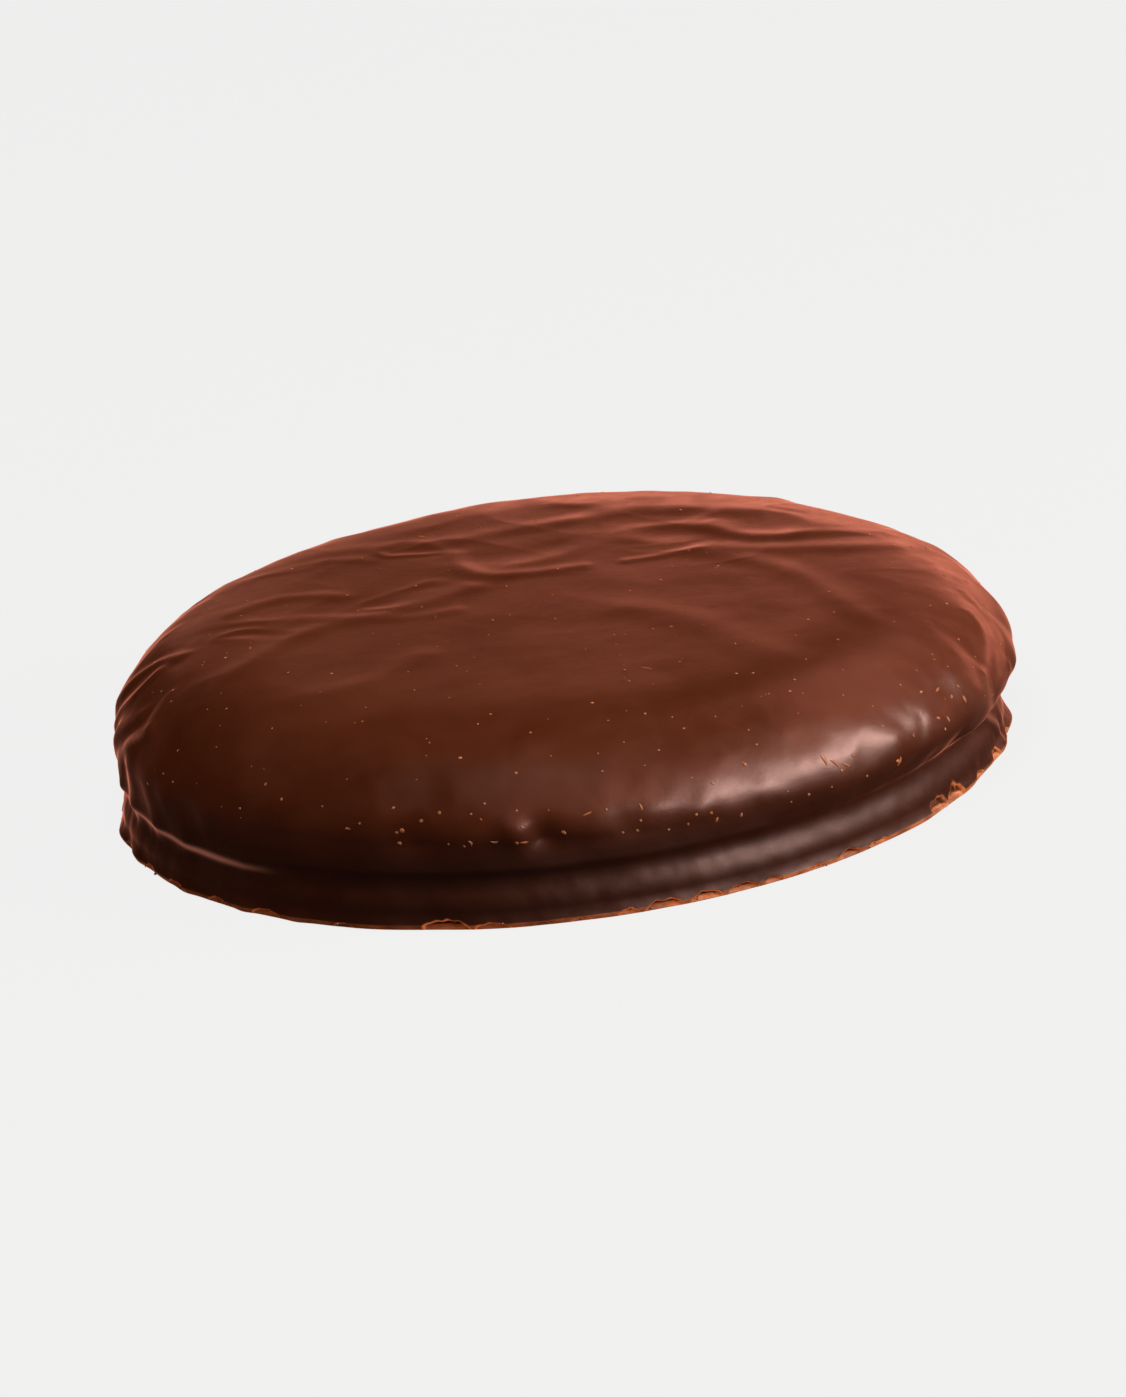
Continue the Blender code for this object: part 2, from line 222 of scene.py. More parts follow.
@dataclass(frozen=True)
class Turning:
    """The biscuit's side before any relief, as radii and heights in metres."""

    radius: float = 0.0325
    height: float = 0.0125
    crown_share: float = 0.60
    dome_drop_share: float = 0.012
    shoulder_power_across: float = 3.0
    shoulder_power_up: float = 1.5
    belly_share: float = 0.48
    waist_share: float = 0.27
    waist_radius_share: float = 0.970
    band_radius_share: float = 0.979
    foot_radius_share: float = 0.987
    flare_height: float = 0.0012
    flare_power: float = 1.6
    lip: float = 0.00030
    lip_inset: float = 0.00016
    rim_width: float = 0.00125
    tuck: Span = (0.0005, 0.00035)
    samples: int = 240

    @property
    def crown_radius(self) -> float:
        """Radius of the crown's edge."""
        return self.crown_share * self.radius

    @property
    def belly_height(self) -> float:
        """Height of the widest line."""
        return self.belly_share * self.height

    @property
    def waist_height(self) -> float:
        """Height of the groove."""
        return self.waist_share * self.height

    @property
    def waist_radius(self) -> float:
        """Radius in the groove."""
        return self.waist_radius_share * self.radius

    @property
    def band_radius(self) -> float:
        """Radius at the foot of the band, where the flare starts."""
        return self.band_radius_share * self.radius

    @property
    def foot_radius(self) -> float:
        """Radius of the lip's top edge."""
        return self.foot_radius_share * self.radius

    @property
    def crown_edge_height(self) -> float:
        """Height of the crown's edge."""
        return float(self.dome(self.crown_radius))

    def dome(self, radius: Array) -> Array:
        """Height of the dome over the top: a shallow parabola that falls towards the rim."""
        return self.height - self.dome_drop_share * self.radius * (radius / self.radius) ** 2

    def crown(self, share: Array) -> Array:
        """(radius, height) from the middle of the top (0) to its edge (1), on the dome."""
        radius = self.crown_radius * share
        return np.column_stack((radius, self.dome(radius)))

    def shoulder(self, share: Array) -> Array:
        """The shoulder: a superellipse under the dome, from the crown (0) to the belly (1).

        The power of the share spaces the points evenly where they leave the crown.

        Args:
            share: Places along the stretch.

        Returns:
            One (radius, height) a row.
        """
        turn = (1.0 - share ** (self.shoulder_power_across / 2)) * math.pi / 2
        across = np.clip(np.cos(turn), 0.0, 1.0) ** (2 / self.shoulder_power_across)
        up = np.clip(np.sin(turn), 0.0, 1.0) ** (2 / self.shoulder_power_up)
        radius = self.crown_radius + (self.radius - self.crown_radius) * across
        height = self.belly_height + (self.dome(radius) - self.belly_height) * up
        return np.column_stack((radius, height))

    def belly(self, share: Array) -> Array:
        """The stretch from the belly (0) in to the waist (1): half a cosine wave.

        Args:
            share: Places along the stretch.

        Returns:
            One (radius, height) a row.
        """
        radius = self.radius + (self.waist_radius - self.radius) * half_wave(share)
        height = self.belly_height + (self.waist_height - self.belly_height) * share
        return np.column_stack((radius, height))

    def band(self, share: Array) -> Array:
        """The band from the waist (0) down to the foot's flare (1): half a cosine wave.

        Args:
            share: Places along the stretch.

        Returns:
            One (radius, height) a row.
        """
        radius = self.waist_radius + (self.band_radius - self.waist_radius) * half_wave(share)
        height = self.waist_height + (self.flare_height - self.waist_height) * share
        return np.column_stack((radius, height))

    def flare(self, share: Array) -> Array:
        """The foot (0) down to the lip (1): out by a power of the way down.

        Args:
            share: Places along the stretch.

        Returns:
            One (radius, height) a row.
        """
        radius = self.band_radius + (self.foot_radius - self.band_radius) * share**self.flare_power
        height = self.flare_height + (self.lip - self.flare_height) * share
        return np.column_stack((radius, height))

    def under(self) -> Array:
        """The corners under the lip: its bottom edge, the rim's inner edge and the tuck.

        Returns:
            One (radius, height) a row.
        """
        bottom = self.foot_radius - self.lip_inset
        inner = bottom - self.rim_width
        return np.array(((bottom, 0.0), (inner, 0.0), (inner - self.tuck[0], self.tuck[1])))


class Profile:
    """The turned shape as tables over reach, with the reach of each landmark."""

    def __init__(self, turning: Turning) -> None:
        """Samples the stretches and adds up the distance along them.

        Args:
            turning: The turned shape.
        """
        self.turning = turning
        share = np.linspace(0.0, 1.0, turning.samples + 1)
        stretches = [turning.crown(share)]
        for stretch in (turning.shoulder, turning.belly, turning.band, turning.flare):
            stretches.append(stretch(share)[1:])
        stretches.append(turning.under())
        ends = np.cumsum([len(stretch) for stretch in stretches]) - 1
        points = np.vstack(stretches)
        steps = np.hypot(*np.diff(points, axis=0).T)
        self.reach = np.concatenate(([0.0], np.cumsum(steps)))
        self.radius, self.height = points.T
        self.crown_end, self.belly, self.waist, self.flare, self.lip = self.reach[ends[:5]]
        self.bottom, self.rim_end, self.end = self.reach[-3:]
        along = np.gradient(points, self.reach, axis=0)
        length = np.hypot(*along.T)
        self.out = -along[:, 1] / length
        self.up = along[:, 0] / length

    def at(self, reach: Array) -> tuple[Array, Array, Array, Array]:
        """Radius, height and the two parts of the outward normal at each reach.

        Args:
            reach: Distances along the profile.

        Returns:
            Radius, height, the normal's outward part and its upward part.
        """
        tables = (self.radius, self.height, self.out, self.up)
        return tuple(np.interp(reach, self.reach, table) for table in tables)


# The relief of the coat.


@dataclass(frozen=True)
class Pool:
    """A shallow pool in the crown: a crest along an oval rim and a sunken middle, in radii."""

    x: float
    y: float
    half_length: float
    half_width: float
    degrees: float
    sink: float = 0.00006
    rim_rise: float = 0.00006
    rim_share: float = 0.34
    bend: float = 0.055
    bend_length: float = 0.17
    gap_levels: Span = (-0.5, 0.5)

    def relief(self, x: Array, y: Array) -> Array:
        """Height over the pool: a bell across the rim, less an S curve that deepens inwards.

        Noise bends the oval and leaves gaps in its rim.

        Args:
            x: East coordinates in radii.
            y: North coordinates in radii.

        Returns:
            Heights in metres.
        """
        bearing = math.radians(self.degrees)
        column = x / self.bend_length
        row = y / self.bend_length
        east = x - self.x + self.bend * lattice_noise(column, row, SEED + 13)
        north = y - self.y + self.bend * lattice_noise(column, row, SEED + 14)
        along = (east * math.cos(bearing) + north * math.sin(bearing)) / self.half_length
        across = (north * math.cos(bearing) - east * math.sin(bearing)) / self.half_width
        reach = np.hypot(along, across)
        gaps = smooth_step(*self.gap_levels, lattice_noise(column, row, SEED + 15))
        rim = self.rim_rise * gaps * bell((reach - 1.0) / self.rim_share)
        return rim - self.sink * (1.0 - smooth_step(0.0, 1.0, reach))


@dataclass(frozen=True)
class Crest:
    """A ridge that the flowing coat left, along a path of points in radii."""

    half_width: float
    points: tuple[tuple[float, float], ...]
    rise: float = 0.00008
    corner_cuts: int = 3

    def relief(self, x: Array, y: Array, radius: float) -> Array:
        """Height over the crest: a bell across the path.

        Args:
            x: East coordinates in metres.
            y: North coordinates in metres.
            radius: The biscuit's radius.

        Returns:
            Heights in metres.
        """
        path = rounded(np.array(self.points) * radius, self.corner_cuts)
        return self.rise * bell(distance_to_path(x, y, path) / self.half_width)


@dataclass(frozen=True)
class Fold:
    """A fold in the coat of the side, along a path of (bearing in degrees, reach in radii), some with a
    painted highlight along the ridge.
    """

    half_width: float
    rise: float
    points: tuple[tuple[float, float], ...]
    # Share, width and end fade of a painted highlight along the ridge.
    highlight_share: float = 0.0
    highlight_width: float = 0.00028
    highlight_fade: float = 0.0012
    corner_cuts: int = 2

    def rolled_out(self, turn: Array, reach: Array, radius: float) -> tuple[Array, Array, Array]:
        """Places and path on the side rolled out flat, seen from the path's first bearing.

        Args:
            turn: Bearings in radians.
            reach: Reaches in metres.
            radius: The biscuit's radius.

        Returns:
            East and north coordinates of the places, and the path.
        """
        degrees, shares = np.array(self.points).T
        start = math.radians(degrees[0])
        path = np.column_stack((np.radians(degrees) - start, shares)) * radius
        return wrapped(turn, start) * radius, reach, rounded(path, self.corner_cuts)

    def relief(self, turn: Array, reach: Array, radius: float) -> Array:
        """Height over the fold in metres: a bell across the path."""
        away = distance_to_path(*self.rolled_out(turn, reach, radius))
        return self.rise * bell(away / self.half_width)

    def worn(self, turn: Array, reach: Array, radius: float) -> Array:
        """Share of painted highlight along the ridge: a narrow bell that fades at both ends.

        Args:
            turn: Bearings in radians.
            reach: Reaches in metres.
            radius: The biscuit's radius.

        Returns:
            Shares from 0 to 1.
        """
        x, y, path = self.rolled_out(turn, reach, radius)
        share = self.highlight_share * bell(distance_to_path(x, y, path) / self.highlight_width)
        for end in (path[0], path[-1]):
            share = share * (1.0 - bell(np.hypot(x - end[0], y - end[1]) / self.highlight_fade))
        return share


@dataclass(frozen=True)
class Groove:
    """The dip at the waist where the two halves meet, sharper above and deeper at the front."""

    depth: float = 0.00032
    above: float = 0.00045
    below: float = 0.00120
    side_share: float = 0.4
    side_bearings: Span = (0.3, -0.5)

    def relief(self, turn: Array, reach: Array, profile: Profile) -> Array:
        """Height of the groove along the normal: a bell that is wider below the waist than above.

        Args:
            turn: Bearings in radians.
            reach: Reaches in metres.
            profile: The turned shape.

        Returns:
            Heights in metres, all below 0.
        """
        away = reach - profile.waist
        half_width = np.where(away < 0.0, self.above, self.below)
        front = at_least(self.side_share, smooth_step(*self.side_bearings, np.sin(turn)))
        return -self.depth * front * bell(away / half_width)


@dataclass(frozen=True)
class Swelling:
    """A local bump or dent, bell-shaped both ways, at a bearing in degrees and a reach in radii."""

    degrees: float
    reach_share: float
    half_round: float
    half_along: float
    rise: float

    def relief(self, turn: Array, reach: Array, radius: float) -> Array:
        """Height over the bump, along the skin's normal.

        Args:
            turn: Bearings in radians.
            reach: Reaches in metres.
            radius: The biscuit's radius.

        Returns:
            Heights in metres.
        """
        round_it = wrapped(turn, math.radians(self.degrees)) * radius / self.half_round
        along = (reach - self.reach_share * radius) / self.half_along
        return self.rise * bell(np.hypot(round_it, along))


@dataclass(frozen=True)
class Ripples:
    """Ridges over the whole crown where bent noise is zero, calm in the front middle."""

    rise: float = 0.00012
    length: float = 0.0080
    bend: float = 0.5
    edge: float = 0.06
    calm_share: float = 0.2
    calm_y: float = -0.40
    calm_reach: Span = (0.45, 1.10)

    def relief(self, x: Array, y: Array, radius: float) -> Array:
        """Height of the ripples: ridge noise times an S curve that grows from the calm middle.

        Args:
            x: East coordinates in metres.
            y: North coordinates in metres.
            radius: The biscuit's radius.

        Returns:
            Heights in metres.
        """
        bend = self.bend * lattice_noise(x / self.length, y / self.length, SEED + 5)
        level = lattice_noise(x / self.length + bend, y / self.length - bend, SEED)
        away = np.hypot(x, y - self.calm_y * radius) / radius
        wild = at_least(self.calm_share, smooth_step(*self.calm_reach, away))
        return self.rise * wild * crest_of(level, self.edge)


@dataclass(frozen=True)
class Flutes:
    """Crisp folds where the coat ran over the shoulder, swept towards the front on both sides."""

    rise: float = 0.00036
    spacing: float = 0.0092
    run: float = 0.018
    sweep: float = 1.15
    softness: float = 0.002
    start_shares: Span = (0.74, 0.96)
    calm_share: float = 0.10
    calm_bearings: Span = (-0.15, 0.35)
    lower_share: float = 0.30

    def relief(self, turn: Array, reach: Array, profile: Profile) -> Array:
        """Height of the folds along the normal.

        The pattern is ridge noise over bearing and reach, with the bearing turned forwards in
        proportion to the reach. It is full at the sides and back and faint at the front, starts at
        the crown's edge and is weaker below the waist.

        Args:
            turn: Bearings in radians.
            reach: Reaches in metres.
            profile: The turned shape.

        Returns:
            Heights in metres.
        """
        radius = profile.turning.radius
        laps = round(2 * math.pi * radius / self.spacing)
        swept = turn + self.sweep * np.cos(turn) * (reach - profile.crown_end) / radius
        level = lattice_noise(swept / (2 * math.pi) * laps, reach / self.run, SEED + 8, laps)
        wild = at_least(self.calm_share, smooth_step(*self.calm_bearings, np.sin(turn)))
        start = smooth_step(*(share * radius for share in self.start_shares), reach)
        low = 1.0 - (1.0 - self.lower_share) * smooth_step(profile.belly, profile.waist, reach)
        return self.rise * wild * start * low * crest_of(level, self.softness)


@dataclass(frozen=True)
class Chip:
    """A shell-shaped scar broken out of the foot."""

    degrees: float
    half_width: float
    rise: float
    depth: float
    ragged_length: float = 0.0006
    ragged_share: float = 0.14

    def nearness(self, turn: Array, height: Array, radius: float) -> Array:
        """0 at the scar's middle on the sole and 1 on its edge, an uneven half oval.

        Args:
            turn: Bearings in radians.
            height: Heights in metres.
            radius: The biscuit's radius.

        Returns:
            The distance from the middle as a share of the way to the edge.
        """
        across = wrapped(turn, math.radians(self.degrees)) * radius
        column = across / self.ragged_length + self.degrees
        ragged = 1.0 + self.ragged_share * lattice_noise(column, height / self.ragged_length, SEED + 9)
        return np.hypot(across / self.half_width, height / self.rise) * ragged


@dataclass(frozen=True)
class ChipRow:
    """All chips: the front's listed, the back's drawn with uneven gaps."""

    front: tuple[tuple[float, float, float, float], ...] = (
        (-168, 0.0012, 0.0007, 0.00035),
        (-159, 0.0010, 0.0006, 0.00045),
        (-151, 0.0014, 0.0006, 0.00060),
        (-142, 0.0011, 0.0006, 0.00055),
        (-133, 0.0013, 0.0006, 0.00045),
        (-121, 0.0008, 0.0004, 0.00030),
        (-107, 0.0017, 0.0009, 0.00050),
        (-101, 0.0013, 0.0006, 0.00045),
        (-95, 0.0006, 0.0004, 0.00030),
        (-90, 0.0007, 0.0004, 0.00030),
        (-84, 0.0008, 0.0006, 0.00035),
        (-79.5, 0.0014, 0.0008, 0.00050),
        (-74, 0.0012, 0.0008, 0.00045),
        (-69, 0.0012, 0.0007, 0.00045),
        (-65, 0.0009, 0.0006, 0.00035),
        (-58.5, 0.0007, 0.0005, 0.00030),
        (-53.5, 0.0011, 0.0008, 0.00045),
        (-48.5, 0.0013, 0.0005, 0.00030),
        (-36, 0.0012, 0.0014, 0.00055),
        (-31.5, 0.0012, 0.0015, 0.00060),
        (-24, 0.0009, 0.0008, 0.00040),
        (-17, 0.0010, 0.0010, 0.00045),
        (-8.5, 0.0008, 0.0008, 0.00060),
    )
    back_degrees: Span = (4, 184)
    back_count: int = 21
    half_widths: Span = (0.0008, 0.0021)
    rises: Span = (0.0005, 0.0014)
    depths: Span = (0.00025, 0.00060)
    stray: float = 0.35
    small_power: float = 1.5
    lip: float = 0.00034
    sole_share: float = 0.06
    rise_share: float = 0.78
    steepness: float = 4.5
    shells: float = 2.4
    shell_rise: float = 0.00004
    shell_fade: float = 0.3
    face_levels: Span = (1.02, 0.93)
    edge_level: float = 0.98
    edge_width: float = 0.07

    def chips(self) -> Iterator[Chip]:
        """Goes through the chips of the front, then draws those of the back.

        Yields:
            Each chip in turn.
        """
        for degrees, half_width, rise, depth in self.front:
            yield Chip(degrees, half_width, rise * self.rise_share, depth)
        draw = np.random.default_rng(SEED + 2)
        first, last = self.back_degrees
        step = (last - first) / self.back_count
        for index in range(self.back_count):
            degrees = first + (index + 0.5 + draw.uniform(-self.stray, self.stray)) * step
            size = draw.uniform(0.0, 1.0) ** self.small_power
            half_width = self.half_widths[0] + size * (self.half_widths[1] - self.half_widths[0])
            rise = self.rises[0] + size * (self.rises[1] - self.rises[0])
            yield Chip(degrees, half_width, rise * self.rise_share, draw.uniform(*self.depths))

    def cut(self, turn: Array, height: Array, radius: float) -> tuple[Array, Array, Array]:
        """How deep the scars go, and where their faces and edges are.

        A scar is flat inside with a steep edge, 1 - t^p, and has faint shell-shaped steps, a cosine
        of the distance from its middle. Where scars meet, the deeper one counts.

        Args:
            turn: Bearings in radians.
            height: Heights in metres.
            radius: The biscuit's radius.

        Returns:
            Depths in metres, the share of broken face and the share of broken edge.
        """
        depth = np.zeros(np.broadcast(turn, height).shape)
        face = np.zeros_like(depth)
        edge = np.zeros_like(depth)
        for chip in self.chips():
            near = chip.nearness(turn, height, radius)
            inside = np.clip(1.0 - near, 0.0, 1.0)
            shells = self.shell_rise * np.cos(2 * math.pi * self.shells * near + chip.degrees)
            own = chip.depth * (1.0 - np.clip(near, 0.0, 1.0) ** self.steepness)
            own += shells * smooth_step(0.0, self.shell_fade, inside)
            own *= at_least(self.sole_share, smooth_step(0.0, self.lip, height))
            depth = np.maximum(depth, own)
            face = np.maximum(face, smooth_step(*self.face_levels, near))
            edge = np.maximum(edge, bell((near - self.edge_level) / self.edge_width))
        return depth, face, edge


@dataclass(frozen=True)
class Foot:
    """How far the foot spreads past the turned shape: it wanders, and lobes swell out of it."""

    wander: float = 0.00022
    wander_length: float = 0.0050
    calm_share: float = 0.25
    calm_bearings: Span = (-0.75, -0.30)
    lobes: tuple[tuple[float, float, float], ...] = (
        (-174, 0.0020, 0.00030),
        (-164, 0.0014, 0.00025),
        (-149, 0.0012, 0.00020),
        (-137, 0.0009, 0.00020),
        (-128, 0.0010, 0.00015),
        (-13, 0.0014, 0.00020),
        (-3, 0.0026, 0.00050),
        (58, 0.0024, 0.00030),
        (121, 0.0020, 0.00025),
    )

    def relief(self, turn: Array, height: Array, turning: Turning) -> Array:
        """Spread of the foot: noise round the rim and a bell for each lobe, fading up the flare.

        Args:
            turn: Bearings in radians.
            height: Heights in metres.
            turning: The turned shape.

        Returns:
            Distances outwards in metres.
        """
        lap = turning.radius / self.wander_length
        out = self.wander * lattice_noise(lap * np.cos(turn), lap * np.sin(turn), SEED + 6)
        out = out * at_least(self.calm_share, smooth_step(*self.calm_bearings, np.sin(turn)))
        for degrees, half_width, reach in self.lobes:
            out = out + reach * bell(wrapped(turn, math.radians(degrees)) * turning.radius / half_width)
        return out * (1.0 - smooth_step(0.0, turning.flare_height, height))


@dataclass(frozen=True)
class Side:
    """Relief of the side: oval, long swells and soft pleats."""

    oval: float = 0.004
    oval_bearing: float = 0.3
    swell_rise: float = 0.00018
    swell_length: float = 0.014
    swell_shares: Span = (0.3, 1.0)
    pleat_rise: float = 0.00024
    pleat_length: float = 0.0042
    pleat_shares: Span = (0.72, 0.95)
    lower_pleat_share: float = 0.3

    def relief(self, turn: Array, radius: Array, height: Array, turning: Turning) -> Array:
        """How far the coat stands out: a two-lobed cosine, and two sizes of noise round the side.

        Args:
            turn: Bearings in radians.
            radius: Radii on the turned shape.
            height: Heights on the turned shape.
            turning: The turned shape.

        Returns:
            Distances outwards in metres.
        """
        full = turning.radius
        oval = self.oval * radius * np.cos(2 * (turn - self.oval_bearing))
        lap = full / self.swell_length
        rise = height / self.swell_length
        swell = self.swell_rise * lattice_noise(lap * np.cos(turn), lap * np.sin(turn) + rise, SEED + 3)
        swell = swell * smooth_step(*(share * full for share in self.swell_shares), radius)
        lap = full / self.pleat_length
        pleat = self.pleat_rise * lattice_noise(lap * np.cos(turn), lap * np.sin(turn), SEED + 4)
        pleat = pleat * smooth_step(*(share * full for share in self.pleat_shares), radius)
        upper = smooth_step(turning.waist_height, turning.belly_height, height)
        return oval + swell + pleat * at_least(self.lower_pleat_share, upper)


@dataclass(frozen=True)
class Grain:
    """Fine unevenness of the set coat, along the normal, stronger on the shoulder."""

    sizes: tuple[tuple[float, float, float], ...] = (
        (0.0042, 0.000060, 0.34),
        (0.0021, 0.000042, 0.14),
        (0.0011, 0.000013, 0.0),
    )
    shoulder_shares: Span = (0.72, 0.95)
    cells: int = 256

    def relief(self, turn: Array, reach: Array, radius: float) -> Array:
        """Sum of noises on the skin rolled out flat about the crown's middle.

        Each size is its length, its rise on the shoulder and the share of that on the crown.

        Args:
            turn: Bearings in radians.
            reach: Reaches in metres.
            radius: The biscuit's radius.

        Returns:
            Heights in metres.
        """
        x = reach * np.cos(turn)
        y = reach * np.sin(turn)
        shoulder = smooth_step(*self.shoulder_shares, reach / radius)
        total = np.zeros(np.shape(x))
        for index, (length, rise, crown_share) in enumerate(self.sizes):
            share = at_least(crown_share, shoulder)
            total += rise * share * lattice_noise(x / length, y / length, SEED + 20 + index, self.cells)
        return total


@dataclass(frozen=True)
class Skin:
    """The coat's surface: the turned shape with all its relief, centred as the CAD node is."""

    profile: Profile = field(default_factory=lambda: Profile(Turning()))
    lower_shift: Span = (-0.00070, -0.00120)
    upper_lean: float = -0.019
    tuck_rate: float = 300.0
    tuck_reaches: tuple[float, ...] = (0.00015, 0.00035, 0.00060, 0.00090)
    lip_margin: float = 0.0004
    survey: tuple[int, int] = (720, 60)
    ripples: Ripples = Ripples()
    flutes: Flutes = Flutes()
    chip_row: ChipRow = ChipRow()
    foot: Foot = Foot()
    side: Side = Side()
    grain: Grain = Grain()
    groove: Groove = Groove()
    pools: tuple[Pool, ...] = (
        Pool(-0.07, 0.34, 0.19, 0.115, 12),
        Pool(0.28, 0.37, 0.09, 0.08, 0),
        Pool(0.49, 0.385, 0.13, 0.075, -32),
        Pool(-0.63, 0.14, 0.13, 0.055, 4),
        Pool(-0.35, 0.10, 0.10, 0.055, 15),
        Pool(-0.31, 0.47, 0.09, 0.035, -18),
        Pool(-0.32, 0.70, 0.24, 0.10, 16),
        Pool(0.14, 0.74, 0.26, 0.09, -8),
        Pool(0.52, 0.62, 0.16, 0.07, -35),
        Pool(-0.66, -0.03, 0.09, 0.045, -10),
    )
    crests: tuple[Crest, ...] = (
        Crest(
            0.0012,
            ((-0.62, 0.47), (-0.50, 0.51), (-0.36, 0.49), (-0.23, 0.47), (-0.10, 0.52), (0.05, 0.54)),
        ),
        Crest(0.0014, ((0.05, 0.54), (0.17, 0.58), (0.30, 0.57), (0.42, 0.52), (0.53, 0.44), (0.66, 0.34))),
        Crest(0.0009, ((-0.21, 0.38), (-0.20, 0.27), (-0.15, 0.195), (-0.03, 0.185), (0.07, 0.20))),
        Crest(0.0010, ((0.37, 0.41), (0.41, 0.33), (0.50, 0.29), (0.62, 0.28), (0.74, 0.29), (0.80, 0.36))),
        Crest(0.0012, ((0.36, 0.25), (0.48, 0.20), (0.62, 0.17), (0.76, 0.17), (0.85, 0.24), (0.88, 0.34))),
        Crest(
            0.0012,
            ((0.33, 0.22), (0.45, 0.14), (0.55, 0.00), (0.61, -0.16), (0.67, -0.33), (0.84, -0.47)),
        ),
        Crest(0.0018, ((0.16, -0.12), (0.29, -0.22), (0.38, -0.37), (0.48, -0.54), (0.58, -0.62))),
        Crest(
            0.0012,
            ((-0.80, -0.34), (-0.66, -0.19), (-0.55, -0.05), (-0.44, 0.00), (-0.33, 0.02), (-0.18, 0.13)),
        ),
        Crest(0.0016, ((-0.62, -0.48), (-0.50, -0.48), (-0.38, -0.42), (-0.30, -0.30))),
        Crest(0.0008, ((-0.74, 0.36), (-0.62, 0.42), (-0.48, 0.44), (-0.40, 0.40)), 0.00006),
        Crest(0.0006, ((0.17, 0.21), (0.25, 0.22), (0.33, 0.245)), 0.00006),
        Crest(0.0008, ((-0.72, 0.14), (-0.63, 0.20), (-0.53, 0.20), (-0.46, 0.16)), 0.00006),
        Crest(0.0009, ((-0.56, 0.04), (-0.45, 0.01), (-0.34, -0.04), (-0.22, -0.02)), 0.00006),
    )
    swellings: tuple[Swelling, ...] = (
        Swelling(-94.8, 1.080, 0.0010, 0.0010, -0.00046),
        Swelling(-98.6, 1.058, 0.0010, 0.0010, 0.00030),
        Swelling(-90.5, 1.052, 0.0016, 0.0011, 0.00020),
        Swelling(-112.0, 1.085, 0.0016, 0.0012, -0.00022),
        Swelling(-80.5, 1.050, 0.0018, 0.0012, 0.00010),
        Swelling(-84.5, 1.075, 0.0012, 0.0010, -0.00014),
        Swelling(-45.5, 1.050, 0.0015, 0.0011, 0.00018),
        Swelling(-51.0, 1.055, 0.0012, 0.0012, -0.00008),
        Swelling(-66.0, 1.060, 0.0015, 0.0008, 0.00007),
        Swelling(-75.0, 1.066, 0.0010, 0.0007, 0.00008),
    )
    folds: tuple[Fold, ...] = (
        Fold(
            0.00060, 0.00024,
            ((-172.5, 1.14), (-170.2, 1.097), (-167.0, 1.048), (-164.2, 1.011), (-161.8, 0.978)),
            0.14,
        ),
        Fold(0.00055, 0.00010, ((-161.8, 0.978), (-164.0, 0.957), (-165.0, 0.927), (-165.8, 0.896)), 0.04),
        Fold(0.00070, 0.00022, ((-175.0, 1.10), (-173.8, 1.061), (-170.8, 1.015), (-167.8, 0.974)), 0.05),
        Fold(
            0.00075, 0.00020,
            ((-179.0, 1.07), (-177.8, 1.022), (-176.2, 0.983), (-175.0, 0.947), (-176.0, 0.90)),
        ),
        Fold(
            0.00080, 0.00018,
            ((-183.0, 1.04), (-181.5, 0.98), (-181.0, 0.93), (-179.8, 0.883), (-177.0, 0.84)),
        ),
        Fold(0.00110, 0.00020, ((-165.0, 1.050), (-163.8, 1.10), (-165.5, 1.15)), 0.06, 0.00040),
        Fold(0.00110, 0.00020, ((-158.5, 1.075), (-157.5, 1.11), (-156.5, 1.15)), 0.02, 0.00050),
        Fold(0.00130, 0.00020, ((-151.8, 1.090), (-150.5, 1.12), (-149.0, 1.155))),
        Fold(0.00150, 0.00018, ((-142.0, 1.090), (-139.5, 1.12), (-137.0, 1.155))),
        Fold(
            0.00060, 0.00022,
            ((-186.0, 1.148), (-171.0, 1.158), (-157.0, 1.164), (-146.0, 1.172), (-130.0, 1.174)),
            0.20, 0.00019, 0.005,
        ),
        Fold(
            0.00065, 0.00022,
            ((-22.2, 1.037), (-24.5, 1.081), (-27.0, 1.110), (-29.2, 1.125)),
            0.15, 0.00028,
        ),
        Fold(0.00075, 0.00020, ((-14.0, 1.06), (-16.8, 1.08), (-20.8, 1.095), (-28.0, 1.116)), 0.13, 0.00026),
        Fold(0.00060, 0.00018, ((-22.0, 1.113), (-16.5, 1.16), (-13.2, 1.212), (-13.2, 1.245)), 0.14),
        Fold(0.00050, -0.00007, ((-39.5, 1.02), (-40.5, 1.050), (-41.5, 1.072), (-42.2, 1.10))),
        Fold(0.00080, 0.00014, ((-11.0, 0.93), (-14.0, 0.98), (-19.0, 1.02))),
        Fold(0.00080, 0.00012, ((-3.0, 0.92), (-7.0, 0.98), (-12.0, 1.03))),
    )

    def crown_relief(self, x: Array, y: Array) -> Array:
        """Relief of the top face: ripples, pools and crests added up.

        Args:
            x: East coordinates in metres.
            y: North coordinates in metres.

        Returns:
            Heights in metres.
        """
        radius = self.profile.turning.radius
        height = self.ripples.relief(x, y, radius)
        for pool in self.pools:
            height = height + pool.relief(x / radius, y / radius)
        for crest in self.crests:
            height = height + crest.relief(x, y, radius)
        return height

    def chip_marks(self, turn: Array, reach: Array) -> tuple[Array, Array, Array]:
        """Depth, broken face and broken edge of the chips at each place on the skin."""
        _, height, _, _ = self.profile.at(reach)
        return self.chip_row.cut(turn, height, self.profile.turning.radius)

    def worn(self, turn: Array, reach: Array) -> Array:
        """Share of painted highlight at each place on the skin: the strongest of the folds'.

        Args:
            turn: Bearings in radians.
            reach: Reaches in metres.

        Returns:
            Shares from 0 to 1.
        """
        radius = self.profile.turning.radius
        shares = [fold.worn(turn, reach, radius) for fold in self.folds if fold.highlight_share > 0.0]
        return np.maximum.reduce(shares)

